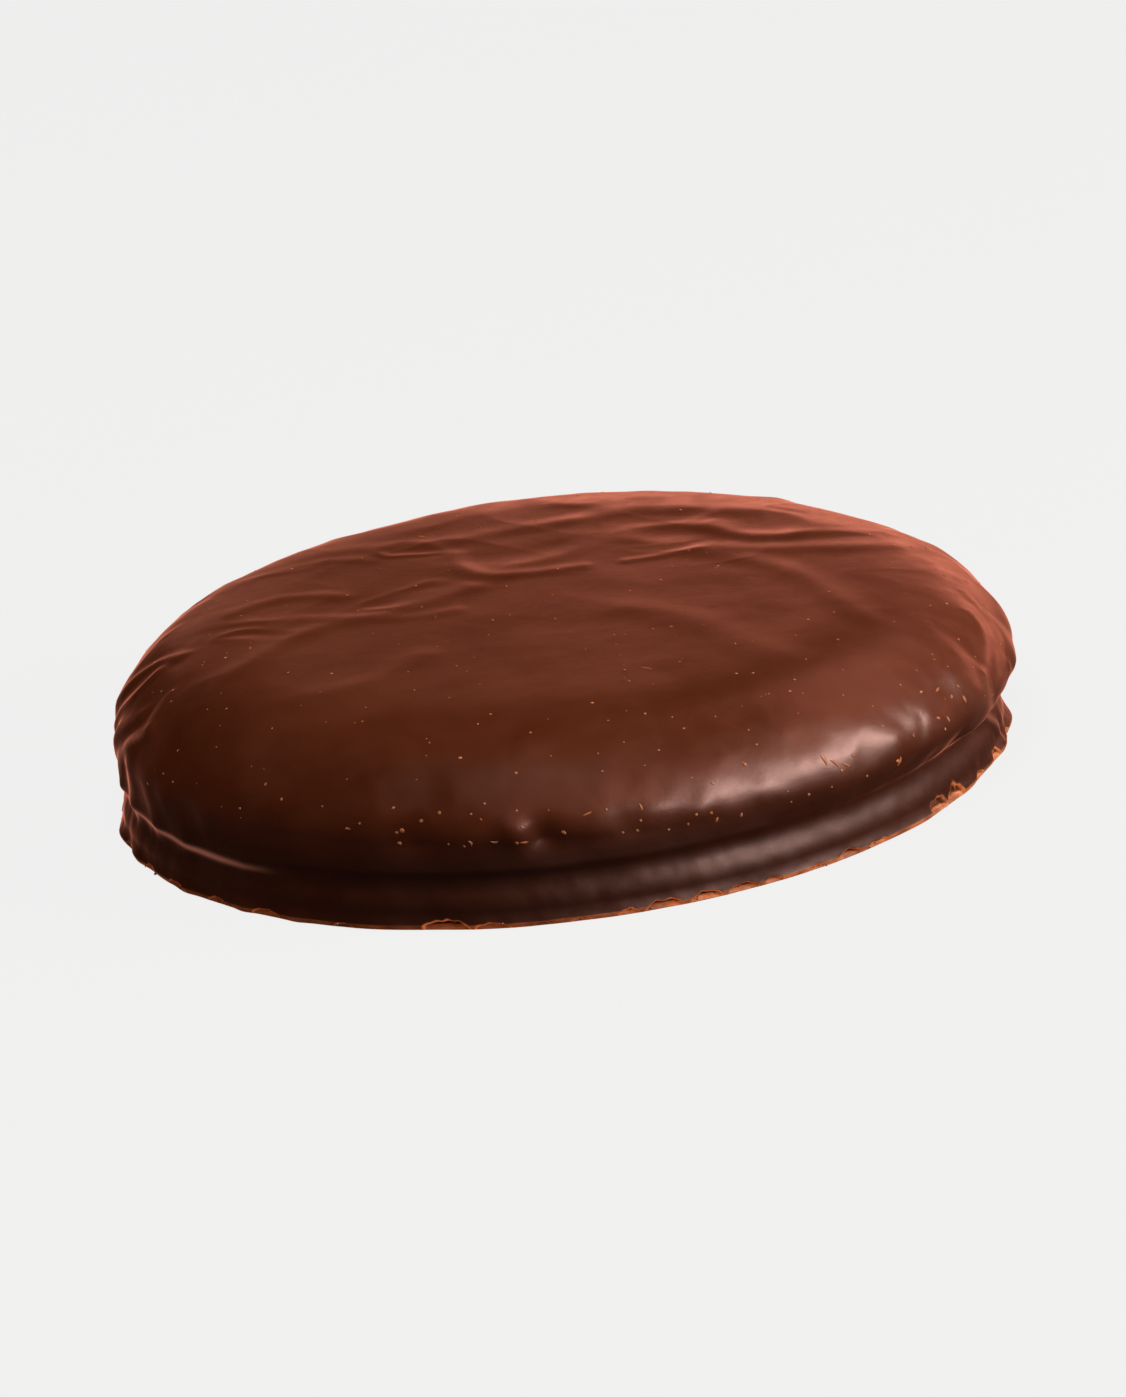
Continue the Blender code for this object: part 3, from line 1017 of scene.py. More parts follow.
    def raw_points(self, turn: Array, reach: Array) -> Array:
        """Places on the skin before centring.

        The side's relief, the foot's spread and the chips move a point outwards, the crown's relief
        moves it upwards, and flutes, bumps and grain move it along the normal. Below the belly the
        whole ring moves over to the lower cracker's centre, and above it the ring leans.

        Args:
            turn: Bearings in radians.
            reach: Reaches in metres, shaped as turn or broadcasting with it.

        Returns:
            An array of (x, y, z), one row more than the broadcast shape.
        """
        turn, reach = np.broadcast_arrays(turn, reach)
        turning = self.profile.turning
        radius, height, out, up = self.profile.at(reach)
        depth, _, _ = self.chip_marks(turn, reach)
        normal = self.flutes.relief(turn, reach, self.profile)
        normal = normal + self.grain.relief(turn, reach, turning.radius)
        normal = normal + self.groove.relief(turn, reach, self.profile)
        for form in self.swellings + self.folds:
            normal = normal + form.relief(turn, reach, turning.radius)
        normal = normal * smooth_step(self.profile.bottom, self.profile.lip - self.lip_margin, reach)
        spread = radius + self.side.relief(turn, radius, height, turning)
        spread = spread + self.foot.relief(turn, height, turning) - depth + out * normal
        x = spread * np.cos(turn)
        y = spread * np.sin(turn)
        top = smooth_step(turning.belly_height, turning.crown_edge_height, height)
        z = height + self.crown_relief(x, y) * top + up * normal
        shift = 1.0 - smooth_step(turning.waist_height, turning.belly_height, height)
        z = z + (1.0 - shift) * self.upper_lean * x
        return np.stack((x + shift * self.lower_shift[0], y + shift * self.lower_shift[1], z), axis=-1)

    @cached_property
    def offset(self) -> Array:
        """What centres the footprint's bounding box on the CAD box: its middle less this one's.

        Returns:
            The move along x and y, and 0 along z.
        """
        columns, rows = self.survey
        turn = np.linspace(0.0, 2 * math.pi, columns + 1)[:-1, None]
        reach = np.linspace(self.profile.crown_end, self.profile.bottom, rows)[None, :]
        points = self.raw_points(turn, reach).reshape(-1, 3)
        middle = (points.min(axis=0) + points.max(axis=0)) / 2
        low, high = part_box(Name.NODE.value)
        wanted = (np.array(low) + np.array(high)) / 2
        return np.array((wanted[0] - middle[0], wanted[1] - middle[1], 0.0))

    @property
    def lower_centre(self) -> Array:
        """East and north of the lower cracker's middle in the CAD frame."""
        return self.offset[:2] + self.lower_shift

    def points(self, turn: Array, reach: Array) -> Array:
        """Places on the skin in the CAD frame, as raw_points gives them."""
        return self.raw_points(turn, reach) + self.offset

    def tucked_points(self, turn: Array, reach: Array, past: Array) -> Array:
        """Places that sink inwards as they pass the waist, so that two pieces cross there unseen.

        The skin sinks by the square of the distance past the waist, so it leaves its own surface
        without a bend.

        Args:
            turn: Bearings in radians.
            reach: Reaches in metres.
            past: How far past the waist each place is, and 0 before it.

        Returns:
            An array of (x, y, z), one row more than the broadcast shape.
        """
        points = self.points(turn, reach)
        sink = self.tuck_rate * np.broadcast_to(past, points.shape[:-1]) ** 2
        points[..., 0] -= sink * np.cos(turn)
        points[..., 1] -= sink * np.sin(turn)
        return points

    def normals(self, turn: Array, reach: Array, step: float = 0.00012) -> Array:
        """Outward unit normals, from the cross product of two short steps along the skin.

        Args:
            turn: Bearings in radians.
            reach: Reaches in metres.
            step: Length of the steps.

        Returns:
            Unit vectors, one a place.
        """
        round_step = step / np.maximum(reach, step)
        across = self.points(turn + round_step, reach) - self.points(turn - round_step, reach)
        down = self.points(turn, reach + step) - self.points(turn, reach - step)
        normal = np.cross(down, across)
        return normal / np.linalg.norm(normal, axis=-1, keepdims=True)


# Meshes from arrays.


def disc_grid(cells: int) -> tuple[Array, Array, Array, Array]:
    """A square grid pressed into a disc, so that it has no pole and its cells stay alike.

    A grid point's distance from the middle is the larger of its two coordinates. Its bearing grows
    evenly along each side of its square: an eighth of a turn times the other coordinate over it.

    Args:
        cells: Cells along a side of the square, an even number.

    Returns:
        Turns and distances (0 to 1) of the points, the quads, and the outer ring's point numbers,
        counter-clockwise from the bearing -45 degrees.
    """
    line = np.linspace(-1.0, 1.0, cells + 1)
    a, b = np.meshgrid(line, line, indexing="ij")
    far = np.maximum(np.abs(a), np.abs(b))
    safe = np.where(far == 0.0, 1.0, far)
    sideways = np.abs(a) >= np.abs(b)
    main = np.where(sideways, a, b)
    other = np.where(sideways, b, -a)
    quarter = np.where(sideways, 0.0, math.pi / 2) + np.where(main < 0.0, math.pi, 0.0)
    turn = quarter + math.pi / 4 * other * np.sign(np.where(main == 0.0, 1.0, main)) / safe
    number = np.arange((cells + 1) ** 2).reshape(cells + 1, cells + 1)
    corners = (number[:-1, :-1], number[1:, :-1], number[1:, 1:], number[:-1, 1:])
    quads = np.stack(corners, axis=-1).reshape(-1, 4)
    sides = (number[-1, :-1], number[:0:-1, -1], number[0, :0:-1], number[:-1, 0])
    return turn.ravel(), far.ravel(), quads, np.concatenate(sides)


def strip_quads(upper: Array, lower: Array) -> Array:
    """Quads between two closed rings of point numbers, facing outwards when upper is above."""
    return np.column_stack((upper, lower, np.roll(lower, -1), np.roll(upper, -1)))


def fan(ring: Array, middle: int, upwards: bool) -> Array:
    """Triangles from a ring of point numbers to a middle point, facing up or down.

    Args:
        ring: The numbers of the ring's points, anticlockwise from above.
        middle: The number of the middle point.
        upwards: Whether the triangles face up.

    Returns:
        The triangles, one a row.
    """
    onward = np.roll(ring, -1)
    middles = np.full_like(ring, middle)
    return np.column_stack((ring, onward, middles) if upwards else (onward, ring, middles))


@dataclass
class Patch:
    """A mesh being put together: points, faces of one size each, and marks on the points."""

    name: str
    points: Array
    quads: Array = field(default_factory=lambda: np.zeros((0, 4), int))
    triangles: Array = field(default_factory=lambda: np.zeros((0, 3), int))
    flat_triangles: bool = False
    marks: dict[Mark, Array] = field(default_factory=dict)

    def build(self) -> bpy.types.Object:
        """Puts the arrays into a smooth mesh and links its object at the origin.

        Returns:
            The new object.
        """
        corners = np.concatenate((self.quads.ravel(), self.triangles.ravel())).astype(np.int32)
        sizes = np.concatenate((np.full(len(self.quads), 4), np.full(len(self.triangles), 3)))
        starts = np.concatenate(([0], np.cumsum(sizes)[:-1])).astype(np.int32)
        mesh = bpy.data.meshes.new(self.name)
        mesh.vertices.add(len(self.points))
        mesh.vertices.foreach_set("co", self.points.astype(np.float32).ravel())
        mesh.loops.add(len(corners))
        mesh.loops.foreach_set("vertex_index", corners)
        mesh.polygons.add(len(sizes))
        mesh.polygons.foreach_set("loop_start", starts)
        smooth = np.ones(len(sizes), bool)
        if self.flat_triangles:
            smooth[len(self.quads):] = False
        mesh.polygons.foreach_set("use_smooth", smooth)
        mesh.update(calc_edges=True)
        for mark, values in self.marks.items():
            attribute = mesh.attributes.new(mark.value, "FLOAT", "POINT")
            attribute.data.foreach_set("value", values.astype(np.float32))
        mesh.validate()
        piece = bpy.data.objects.new(self.name, mesh)
        bpy.context.scene.collection.objects.link(piece)
        return piece


# Finishes.


class Graph:
    """A node tree being wired, with nodes named by their type."""

    def __init__(self, tree: bpy.types.NodeTree) -> None:
        """Takes the tree to wire.

        Args:
            tree: A material's, world's or group's node tree.
        """
        self.tree = tree

    def add(self, kind: str, settings: dict | None = None, **sockets: object) -> bpy.types.Node:
        """Adds a node and fills or links its inputs.

        Args:
            kind: The node's type, such as ShaderNodeMix.
            settings: Node properties to set first.
            sockets: Input names in lower case with _ for spaces, each with a value or an output
                to link. A name that ends in a number, such as a_6, takes that input's place.

        Returns:
            The new node.
        """
        node = self.tree.nodes.new(kind)
        for key, value in (settings or {}).items():
            setattr(node, key, value)
        for key, value in sockets.items():
            self.feed(self.socket(node, key), value)
        return node

    def socket(self, node: bpy.types.Node, key: str) -> bpy.types.NodeSocket:
        """Finds an input by its place or its name.

        Args:
            node: The node.
            key: The input's name in lower case, or any name that ends in its number.

        Returns:
            The numbered input, or else the enabled one of this name.
        """
        head, _, tail = key.rpartition("_")
        if head and tail.isdigit():
            return node.inputs[int(tail)]
        for socket in node.inputs:
            if socket.enabled and socket.name.lower().replace(" ", "_") == key:
                return socket
        raise KeyError(f"{node.bl_idname} has no input {key}")

    def feed(self, socket: bpy.types.NodeSocket, value: object) -> None:
        """Links an output to the socket, or sets its value.

        Args:
            socket: The input.
            value: An output to link, or a plain value.
        """
        if isinstance(value, bpy.types.NodeSocket):
            self.tree.links.new(value, socket)
        else:
            socket.default_value = value

    def mix(self, factor: object, first: object, second: object) -> bpy.types.NodeSocket:
        """A colour between two, by a factor."""
        node = self.add("ShaderNodeMix", {"data_type": "RGBA"}, factor_0=factor, a_6=first, b_7=second)
        return node.outputs[2]

    def scaled(self, colour: object, share: float) -> bpy.types.NodeSocket:
        """The colour times a share."""
        return self.mix(1.0 - share, colour, (0.0, 0.0, 0.0, 1.0))

    def math(self, operation: str, first: object, second: object = 0.0) -> bpy.types.NodeSocket:
        """The result of a Math node."""
        node = self.add("ShaderNodeMath", {"operation": operation}, value_0=first, value_1=second)
        return node.outputs[0]

    def ranged(self, value: object, old: Span, new: Span = (0.0, 1.0)) -> bpy.types.NodeSocket:
        """Moves a value from one span to another and holds it inside it.

        Args:
            value: The value.
            old: The span that it comes from.
            new: The span that it goes to.

        Returns:
            The moved value.
        """
        ends = {"from_min": old[0], "from_max": old[1], "to_min": new[0], "to_max": new[1]}
        return self.add("ShaderNodeMapRange", value=value, **ends).outputs[0]

    def mark(self, mark: Mark) -> bpy.types.NodeSocket:
        """The value of one of the skin's marks."""
        return self.add("ShaderNodeAttribute", {"attribute_name": mark.value}).outputs["Fac"]

    def bump(self, height: object, depth: float, **normal: object) -> bpy.types.NodeSocket:
        """A normal tilted by the slope of a height, of a full depth in metres, over another one."""
        return self.add("ShaderNodeBump", distance=depth, strength=1.0, height=height, **normal).outputs[0]


def rgba(colour: Colour) -> tuple[float, float, float, float]:
    """The colour with full alpha."""
    return (*colour, 1.0)


@dataclass(frozen=True)
class Layer:
    """One size of noise in the set chocolate, in cells a metre."""

    name: str
    scale: float
    detail: float = 2.0
    roughness: float = 0.5
    distortion: float = 0.0


@dataclass(frozen=True)
class SetChocolate:
    """How chocolate sets, as a node group: drifting clouds, mottle and dust.

    Its outputs are values from 0 to 1 that change over the surface.
    """

    name: str = "set_chocolate"
    layers: tuple[Layer, ...] = (
        Layer("Cloud", 105.0, detail=3.0, distortion=0.8),
        Layer("Mottle", 520.0, detail=4.0, roughness=0.6),
        Layer("Dust", 3600.0),
    )

    def group(self) -> bpy.types.ShaderNodeTree:
        """Builds the group on its first use and gives the same one afterwards.

        Returns:
            The node group.
        """
        built = bpy.data.node_groups.get(self.name)
        if built is not None:
            return built
        tree = bpy.data.node_groups.new(self.name, "ShaderNodeTree")
        tree.interface.new_socket("Vector", in_out="INPUT", socket_type="NodeSocketVector")
        for layer in self.layers:
            tree.interface.new_socket(layer.name, in_out="OUTPUT", socket_type="NodeSocketFloat")
        graph = Graph(tree)
        place = graph.add("NodeGroupInput").outputs["Vector"]
        end = graph.add("NodeGroupOutput")
        for layer in self.layers:
            noise = graph.add(
                "ShaderNodeTexNoise",
                vector=place,
                scale=layer.scale,
                detail=layer.detail,
                roughness=layer.roughness,
                distortion=layer.distortion,
            )
            graph.feed(end.inputs[layer.name], noise.outputs["Fac"])
        return tree


@dataclass(frozen=True)
class Finish:
    """What the finishes share: a material with the pattern of the set chocolate at hand."""

    name: str

    def begin(self) -> tuple[bpy.types.Material, Graph, bpy.types.Node, bpy.types.Node]:
        """Makes the material and places the pattern in it, on Object coordinates.

        Returns:
            The material, its graph, its shader and the pattern's node.
        """
        material = bpy.data.materials.new(self.name)
        material.use_nodes = True
        graph = Graph(material.node_tree)
        place = graph.add("ShaderNodeTexCoord").outputs["Object"]
        pattern = graph.add("ShaderNodeGroup", {"node_tree": SetChocolate().group()}, vector=place)
        return material, graph, material.node_tree.nodes["Principled BSDF"], pattern


@dataclass(frozen=True)
class CoatFinish(Finish):
    """Satin dark chocolate with drifting clouds of colour, paler where it is broken, darker low down as
    painted shade, with painted highlights on some folds and a painted glow at the silhouette, the lip and
    broken edges.
    """

    deep: Colour = (0.092, 0.0175, 0.0052)
    warm: Colour = (0.128, 0.0300, 0.0125)
    cloud_levels: Span = (0.32, 0.68)
    # Painted shade: below the belly the colour is darkened by this share, where the overhang shades it.
    painted_shade_share: float = 0.44
    painted_shade_heights: Span = (0.0046, 0.0068)
    broken: Colour = (0.120, 0.0320, 0.0100)
    edge: Colour = (0.700, 0.2400, 0.0900)
    pale_edge: Colour = (0.760, 0.4300, 0.2700)
    edge_levels: Span = (0.35, 0.60)
    edge_shares: Span = (0.35, 1.0)
    grain_levels: Span = (0.42, 0.60)
    # Colour of the painted highlight along fold ridges.
    worn: Colour = (0.620, 0.2400, 0.1500)
    # Painted glow of the lip and broken edges, as emission.
    glow: Colour = (0.560, 0.1200, 0.0300)
    # Glow of the painted highlight along fold ridges.
    worn_glow: Colour = (0.900, 0.3000, 0.2000)
    # Painted rim light: a glow at the silhouette that no lamp gives.
    painted_rim_light: Colour = (1.000, 0.3000, 0.1900)
    painted_rim_power: float = 13.0
    satin_levels: Span = (0.3, 0.7)
    roughness: Span = (0.285, 0.40)
    low_dullness: float = 0.12
    broken_roughness: float = 0.62
    mottle_depth: float = 0.000024
    dust_depth: float = 0.000004
    refraction: float = 1.5
    sheen: float = 0.16
    sheen_roughness: float = 0.35
    sheen_tint: Colour = (1.0, 0.30, 0.20)

    def build(self) -> bpy.types.Material:
        """Builds the material.

        Returns:
            The material, which reads the marks of broken faces, broken edges and worn folds.
        """
        material, graph, shader, pattern = self.begin()
        place = graph.add("ShaderNodeTexCoord").outputs["Object"]
        height = graph.add("ShaderNodeSeparateXYZ", vector=place).outputs["Z"]
        # Mask of the painted shade below the belly; it also dulls the roughness.
        low = graph.ranged(height, self.painted_shade_heights, (1.0, 0.0))
        speckle = graph.ranged(pattern.outputs["Mottle"], self.edge_levels, self.edge_shares)
        # Broken edges, with the lip's painted glow folded into the same share.
        rim = graph.math("MULTIPLY", graph.mark(Mark.EDGE), speckle)
        graph.feed(shader.inputs["Base Color"], self.colour(graph, pattern, low, rim))
        graph.feed(shader.inputs["Emission Color"], self.light(graph, rim))
        graph.feed(shader.inputs["Roughness"], self.satin(graph, pattern, low))
        fine = graph.bump(pattern.outputs["Dust"], self.dust_depth)
        soft = graph.bump(pattern.outputs["Mottle"], self.mottle_depth, normal=fine)
        graph.feed(shader.inputs["Normal"], soft)
        shader.inputs["Emission Strength"].default_value = 1.0
        shader.inputs["IOR"].default_value = self.refraction
        shader.inputs["Sheen Weight"].default_value = self.sheen
        shader.inputs["Sheen Roughness"].default_value = self.sheen_roughness
        shader.inputs["Sheen Tint"].default_value = rgba(self.sheen_tint)
        return material

    def colour(
        self, graph: Graph, pattern: bpy.types.Node, low: object, rim: object
    ) -> bpy.types.NodeSocket:
        """Clouds of two browns, darker low down as painted shade, then painted highlights on folds, broken
        faces and broken edges.

        Args:
            graph: The material's graph.
            pattern: The pattern's node.
            low: 1 below the waist and 0 on the shoulder, where shade is painted in.
            rim: The share of broken edge, with the lip's painted glow.

        Returns:
            The base colour.
        """
        cloud = graph.ranged(pattern.outputs["Cloud"], self.cloud_levels)
        colour = graph.mix(cloud, rgba(self.deep), rgba(self.warm))
        # Painted shade: darker low down, under the belly.
        colour = graph.mix(low, colour, graph.scaled(colour, self.painted_shade_share))
        # Painted highlight along fold ridges.
        colour = graph.mix(graph.mark(Mark.WORN), colour, rgba(self.worn))
        colour = graph.mix(graph.mark(Mark.BROKEN), colour, rgba(self.broken))
        grain = graph.ranged(pattern.outputs["Dust"], self.grain_levels)
        bright = graph.mix(grain, rgba(self.edge), rgba(self.pale_edge))
        return graph.mix(rim, colour, bright)

    def light(self, graph: Graph, rim: object) -> bpy.types.NodeSocket:
        """Painted light as emission: a painted rim light at the silhouette, painted highlights on folds, and
        a painted glow on the lip and broken edges.

        Args:
            graph: The material's graph.
            rim: The share of broken edge, with the lip's painted glow.

        Returns:
            The emission's colour.
        """
        facing = graph.add("ShaderNodeLayerWeight", blend=0.5).outputs["Facing"]
        # Painted rim light at the silhouette.
        painted_rim = graph.math("POWER", facing, self.painted_rim_power)
        painted_emission = graph.mix(painted_rim, rgba((0.0, 0.0, 0.0)), rgba(self.painted_rim_light))
        # Painted highlight glows along fold ridges.
        painted_emission = graph.mix(graph.mark(Mark.WORN), painted_emission, rgba(self.worn_glow))
        # Painted glow on the lip and broken edges.
        return graph.mix(rim, painted_emission, rgba(self.glow))

    def satin(self, graph: Graph, pattern: bpy.types.Node, low: object) -> bpy.types.NodeSocket:
        """Roughness: mottled, duller low down and dull where the coat is broken.

        Args:
            graph: The material's graph.
            pattern: The pattern's node.
            low: 1 below the waist and 0 on the shoulder.

        Returns:
            The roughness.
        """
        mottled = graph.ranged(pattern.outputs["Mottle"], self.satin_levels, self.roughness)
        dulled = graph.math("ADD", mottled, graph.math("MULTIPLY", low, self.low_dullness))
        broken = graph.mark(Mark.BROKEN)
        rough = graph.add("ShaderNodeMix", factor_0=broken, a_2=dulled, b_3=self.broken_roughness)
        return rough.outputs[0]


@dataclass(frozen=True)
class GrainFinish(Finish):
    """Pale broken chocolate of pinholes, scuffs and crumbs, uneven from one to the next."""

    light: Colour = (0.68, 0.260, 0.110)
    dark: Colour = (0.40, 0.120, 0.042)
    levels: Span = (0.35, 0.65)
    roughness: float = 0.6

    def build(self) -> bpy.types.Material:
        """Builds the material.

        Returns:
            The material.
        """
        material, graph, shader, pattern = self.begin()
        share = graph.ranged(pattern.outputs["Mottle"], self.levels)
        graph.feed(shader.inputs["Base Color"], graph.mix(share, rgba(self.dark), rgba(self.light)))
        shader.inputs["Roughness"].default_value = self.roughness
        return material


# The pieces.


@dataclass
class Piece(ABC):
    """A piece of the coated biscuit, built on its skin and dressed in one finish."""

    skin: Skin

    @abstractmethod
    def build(self) -> bpy.types.Object:
        """Builds the piece's mesh."""

    def dress(self, material: bpy.types.Material) -> bpy.types.Object:
        """Builds the piece, gives it its material and body, and hides the CAD node that it stands in for.

        Args:
            material: The finish.

        Returns:
            The dressed object.
        """
        piece = self.build()
        piece.data.materials.append(material)
        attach(piece, Name.BODY.value)
        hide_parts(Name.NODE.value)
        LOG.info("%s: %d faces", piece.name, len(piece.data.polygons))
        return piece


@dataclass
class UpperCoat(Piece):
    """Crown, shoulder and belly down to the waist, closed by a hidden floor in the groove."""

    cells: int = 200
    shoulder_rows: int = 46
    belly_rows: int = 16

    def build(self) -> bpy.types.Object:
        """A disc grid for the crown, rings below it, and a fan that closes the waist.

        The last rings lie inside the lower coat, so that no seam shows in the groove.

        Returns:
            The new object.
        """
        profile = self.skin.profile
        turn, share, quads, edge = disc_grid(self.cells)
        crown = self.skin.points(turn, share * profile.crown_end)
        shoulder = np.linspace(profile.crown_end, profile.belly, self.shoulder_rows + 1)[1:]
        belly = np.linspace(profile.belly, profile.waist, self.belly_rows + 1)[1:]
        rows = np.concatenate((shoulder, belly, profile.waist + np.array(self.skin.tuck_reaches)))
        past = np.clip(rows - profile.waist, 0.0, None)
        side = self.skin.tucked_points(turn[edge][None, :], rows[:, None], past[:, None]).reshape(-1, 3)
        rings = [edge] + [len(crown) + len(edge) * row + np.arange(len(edge)) for row in range(len(rows))]
        strips = [strip_quads(above, below) for above, below in zip(rings, rings[1:])]
        middle = np.append(self.skin.lower_centre, profile.turning.waist_height)
        points = np.vstack((crown, side, middle[None, :]))
        patch = Patch("coat_upper", points, np.vstack([quads] + strips), flat_triangles=True)
        patch.triangles = fan(rings[-1], len(points) - 1, upwards=False)
        # Share of painted highlight along fold ridges, one value a point.
        crown_highlight = self.skin.worn(turn, share * profile.crown_end)
        side_highlight = self.skin.worn(turn[edge][None, :], rows[:, None]).ravel()
        patch.marks = {Mark.WORN: np.concatenate((crown_highlight, side_highlight, [0.0]))}
        return patch.build()


@dataclass
class LowerCoat(Piece):
    """Band, foot and broken lip, closed by hidden lids in the groove and above the sole."""

    columns: int = 1840
    band_rows: int = 14
    flare_rows: int = 16
    lip_rows: int = 5
    rim_rows: int = 5
    tuck_rows: int = 2
    lid_rise: float = 0.0012
    # Painted glow on the lip, strongest at the painted glow bearing towards the key light; chip edges are
    # painted fainter on the far side.
    lip_painted_glow: float = 0.85
    painted_glow_bearing: float = -0.35
    painted_glow_share: float = 0.25
    painted_glow_span: Span = (-0.2, 0.9)
    chip_painted_light_share: float = 0.25
    chip_painted_light_span: Span = (-0.95, -0.2)
    lip_start: Span = (-0.00012, 0.00005)
    even_share: float = 0.72
    uneven_columns: float = 18.0
    uneven_height: float = 0.0002

    def reaches(self) -> Array:
        """Spaces the rows evenly in each stretch from the groove to the tuck.

        Returns:
            The reach of each row.
        """
        profile = self.skin.profile
        marks = (profile.waist, profile.flare, profile.lip, profile.bottom, profile.rim_end, profile.end)
        counts = (self.band_rows, self.flare_rows, self.lip_rows, self.rim_rows, self.tuck_rows)
        rows = [marks[0] - np.array(self.skin.tuck_reaches[::-1]), np.array([marks[0]])]
        for start, end, count in zip(marks, marks[1:], counts):
            rows.append(np.linspace(start, end, count + 1)[1:])
        return np.concatenate(rows)

    def build(self) -> bpy.types.Object:
        """Rings from the waist to the tuck under the lip, with fans at both ends.

        Returns:
            The new object.
        """
        profile = self.skin.profile
        turn = np.arange(self.columns) * 2 * math.pi / self.columns
        rows = self.reaches()
        past = np.clip(profile.waist - rows, 0.0, None)
        points = self.skin.tucked_points(turn[None, :], rows[:, None], past[:, None]).reshape(-1, 3)
        rings = [self.columns * row + np.arange(self.columns) for row in range(len(rows))]
        quads = np.vstack([strip_quads(above, below) for above, below in zip(rings, rings[1:])])
        centre = self.skin.lower_centre
        lids = np.array(((*centre, profile.turning.waist_height), (*centre, self.lid_rise)))
        top = fan(rings[0], len(points), upwards=True)
        bottom = fan(rings[-1], len(points) + 1, upwards=False)
        patch = Patch("coat_lower", np.vstack((points, lids)), quads, np.vstack((top, bottom)), True)
        patch.marks = self.marks(turn, rows)
        return patch.build()

    def marks(self, turn: Array, rows: Array) -> dict[Mark, Array]:
        """Where the coat is broken: the chips' faces and edges, and the lip all round.

        The lip's share is a painted glow: noise round the rim, from its top edge down to the sole. It is
        strongest at the glow bearing, towards the key light, and the chips' edges are painted fainter
        on the far side.

        Args:
            turn: Bearings of the columns.
            rows: Reaches of the rows.

        Returns:
            The marks, one value a point.
        """
        profile = self.skin.profile
        _, face, edge = self.skin.chip_marks(turn[None, :], rows[:, None])
        above, below = self.lip_start
        on_lip = smooth_step(profile.lip + above, profile.lip + below, rows)[:, None]
        uneven = lattice_noise(
            turn[None, :] * self.uneven_columns, rows[:, None] / self.uneven_height, SEED + 12
        )
        # Painted light: the lip glows towards the key light and chip edges fade on the far side.
        near = np.cos(turn - self.painted_glow_bearing)[None, :]
        thin = at_least(self.painted_glow_share, smooth_step(*self.painted_glow_span, near))
        edge = edge * at_least(self.chip_painted_light_share, smooth_step(*self.chip_painted_light_span, near))
        lip = on_lip * self.lip_painted_glow * thin * at_least(self.even_share, uneven)
        lids = np.zeros(2)
        broken = np.concatenate((np.maximum(face, on_lip).ravel(), lids))
        edges = np.concatenate((np.clip(np.maximum(edge, lip), 0.0, 1.0).ravel(), lids))
        # Painted highlight along fold ridges.
        worn = np.concatenate((self.skin.worn(turn[None, :], rows[:, None]).ravel(), lids))
        return {Mark.BROKEN: broken, Mark.EDGE: edges, Mark.WORN: worn}


@dataclass
class Sole(Piece):
    """The underside inside the rim: a thin disc with the belt's faint wavy lines in it."""

    cells: int = 150
    lift: float = 0.00004
    thickness: float = 0.00022
    inset: float = 0.0001
    line_spacing: float = 0.0017
    line_rise: float = 0.00005
    line_bend: float = 0.7
    bend_size: float = 0.011
    pit_rise: float = 0.00006
    pit_size: float = 0.0034
    patch_size: float = 0.016
    patch_levels: Span = (-0.4, 0.6)
    patch_least: float = 0.3

    def build(self) -> bpy.types.Object:
        """A disc grid, lifted by belt lines and pits, and a flat lid above it.

        The belt lines are half waves of a sine of y, bent by noise. The pits are noise above 0.

        Returns:
            The new object.
        """
        profile = self.skin.profile
        radius = float(np.interp(profile.rim_end, profile.reach, profile.radius)) - self.inset
        turn, share, quads, edge = disc_grid(self.cells)
        x = share * radius * np.cos(turn)
        y = share * radius * np.sin(turn)
        bend = lattice_noise(x / self.bend_size, y / self.bend_size, SEED + 30)
        wave = np.sin(2 * math.pi * (y / self.line_spacing + self.line_bend * bend))
        lines = np.clip(wave, 0.0, 1.0) ** 2
        pits = np.clip(lattice_noise(x / self.pit_size, y / self.pit_size, SEED + 31), 0.0, 1.0)
        level = lattice_noise(x / self.patch_size, y / self.patch_size, SEED + 32)
        patchy = at_least(self.patch_least, smooth_step(*self.patch_levels, level))
        z = self.lift + patchy * self.line_rise * lines + self.pit_rise * pits
        centre = self.skin.lower_centre
        under = np.column_stack((x + centre[0], y + centre[1], z))
        lid = under[edge].copy()
        lid[:, 2] = self.thickness
        middle = np.array(((*centre, self.thickness),))
        ring = len(under) + np.arange(len(edge))
        walls = strip_quads(ring, edge)
        patch = Patch("sole", np.vstack((under, lid, middle)), np.vstack((quads[:, ::-1], walls)))
        patch.triangles = fan(ring, len(under) + len(edge), upwards=True)
        patch.flat_triangles = True
        return patch.build()


@dataclass(frozen=True)
class Scatter:
    """Draws places on the skin, one for each wanted, by a density over bearing and reach."""

    skin: Skin
    seed: int
    tries: int = 12
    right_bearing: float = -0.5
    shoulder: Span = (0.70, 0.95)
    front: Span = (0.3, -0.6)
    shares: tuple[float, float, float] = (0.35, 0.35, 0.3)

    def places(self, count: int, reaches: Span) -> tuple[Array, Array]:
        """Draws places evenly by area and keeps more of those at the front and on the right.

        Args:
            count: How many places.
            reaches: The lowest and highest reach, in radii.

        Returns:
            Turns and reaches.
        """
        draw = np.random.default_rng(self.seed)
        radius = self.skin.profile.turning.radius
        tried = count * self.tries
        turn = draw.uniform(-math.pi, math.pi, tried)
        low, high = reaches
        reach = np.sqrt(draw.uniform(low**2, high**2, tried)) * radius
        right = 0.5 + 0.5 * np.cos(turn - self.right_bearing)
        shoulder = smooth_step(*self.shoulder, reach / radius)
        front = smooth_step(*self.front, np.sin(turn))
        everywhere, on_right, in_front = self.shares
        density = everywhere + on_right * right + in_front * shoulder * front
        kept = draw.uniform(0.0, 1.0, tried) < density
        return turn[kept][:count], reach[kept][:count]


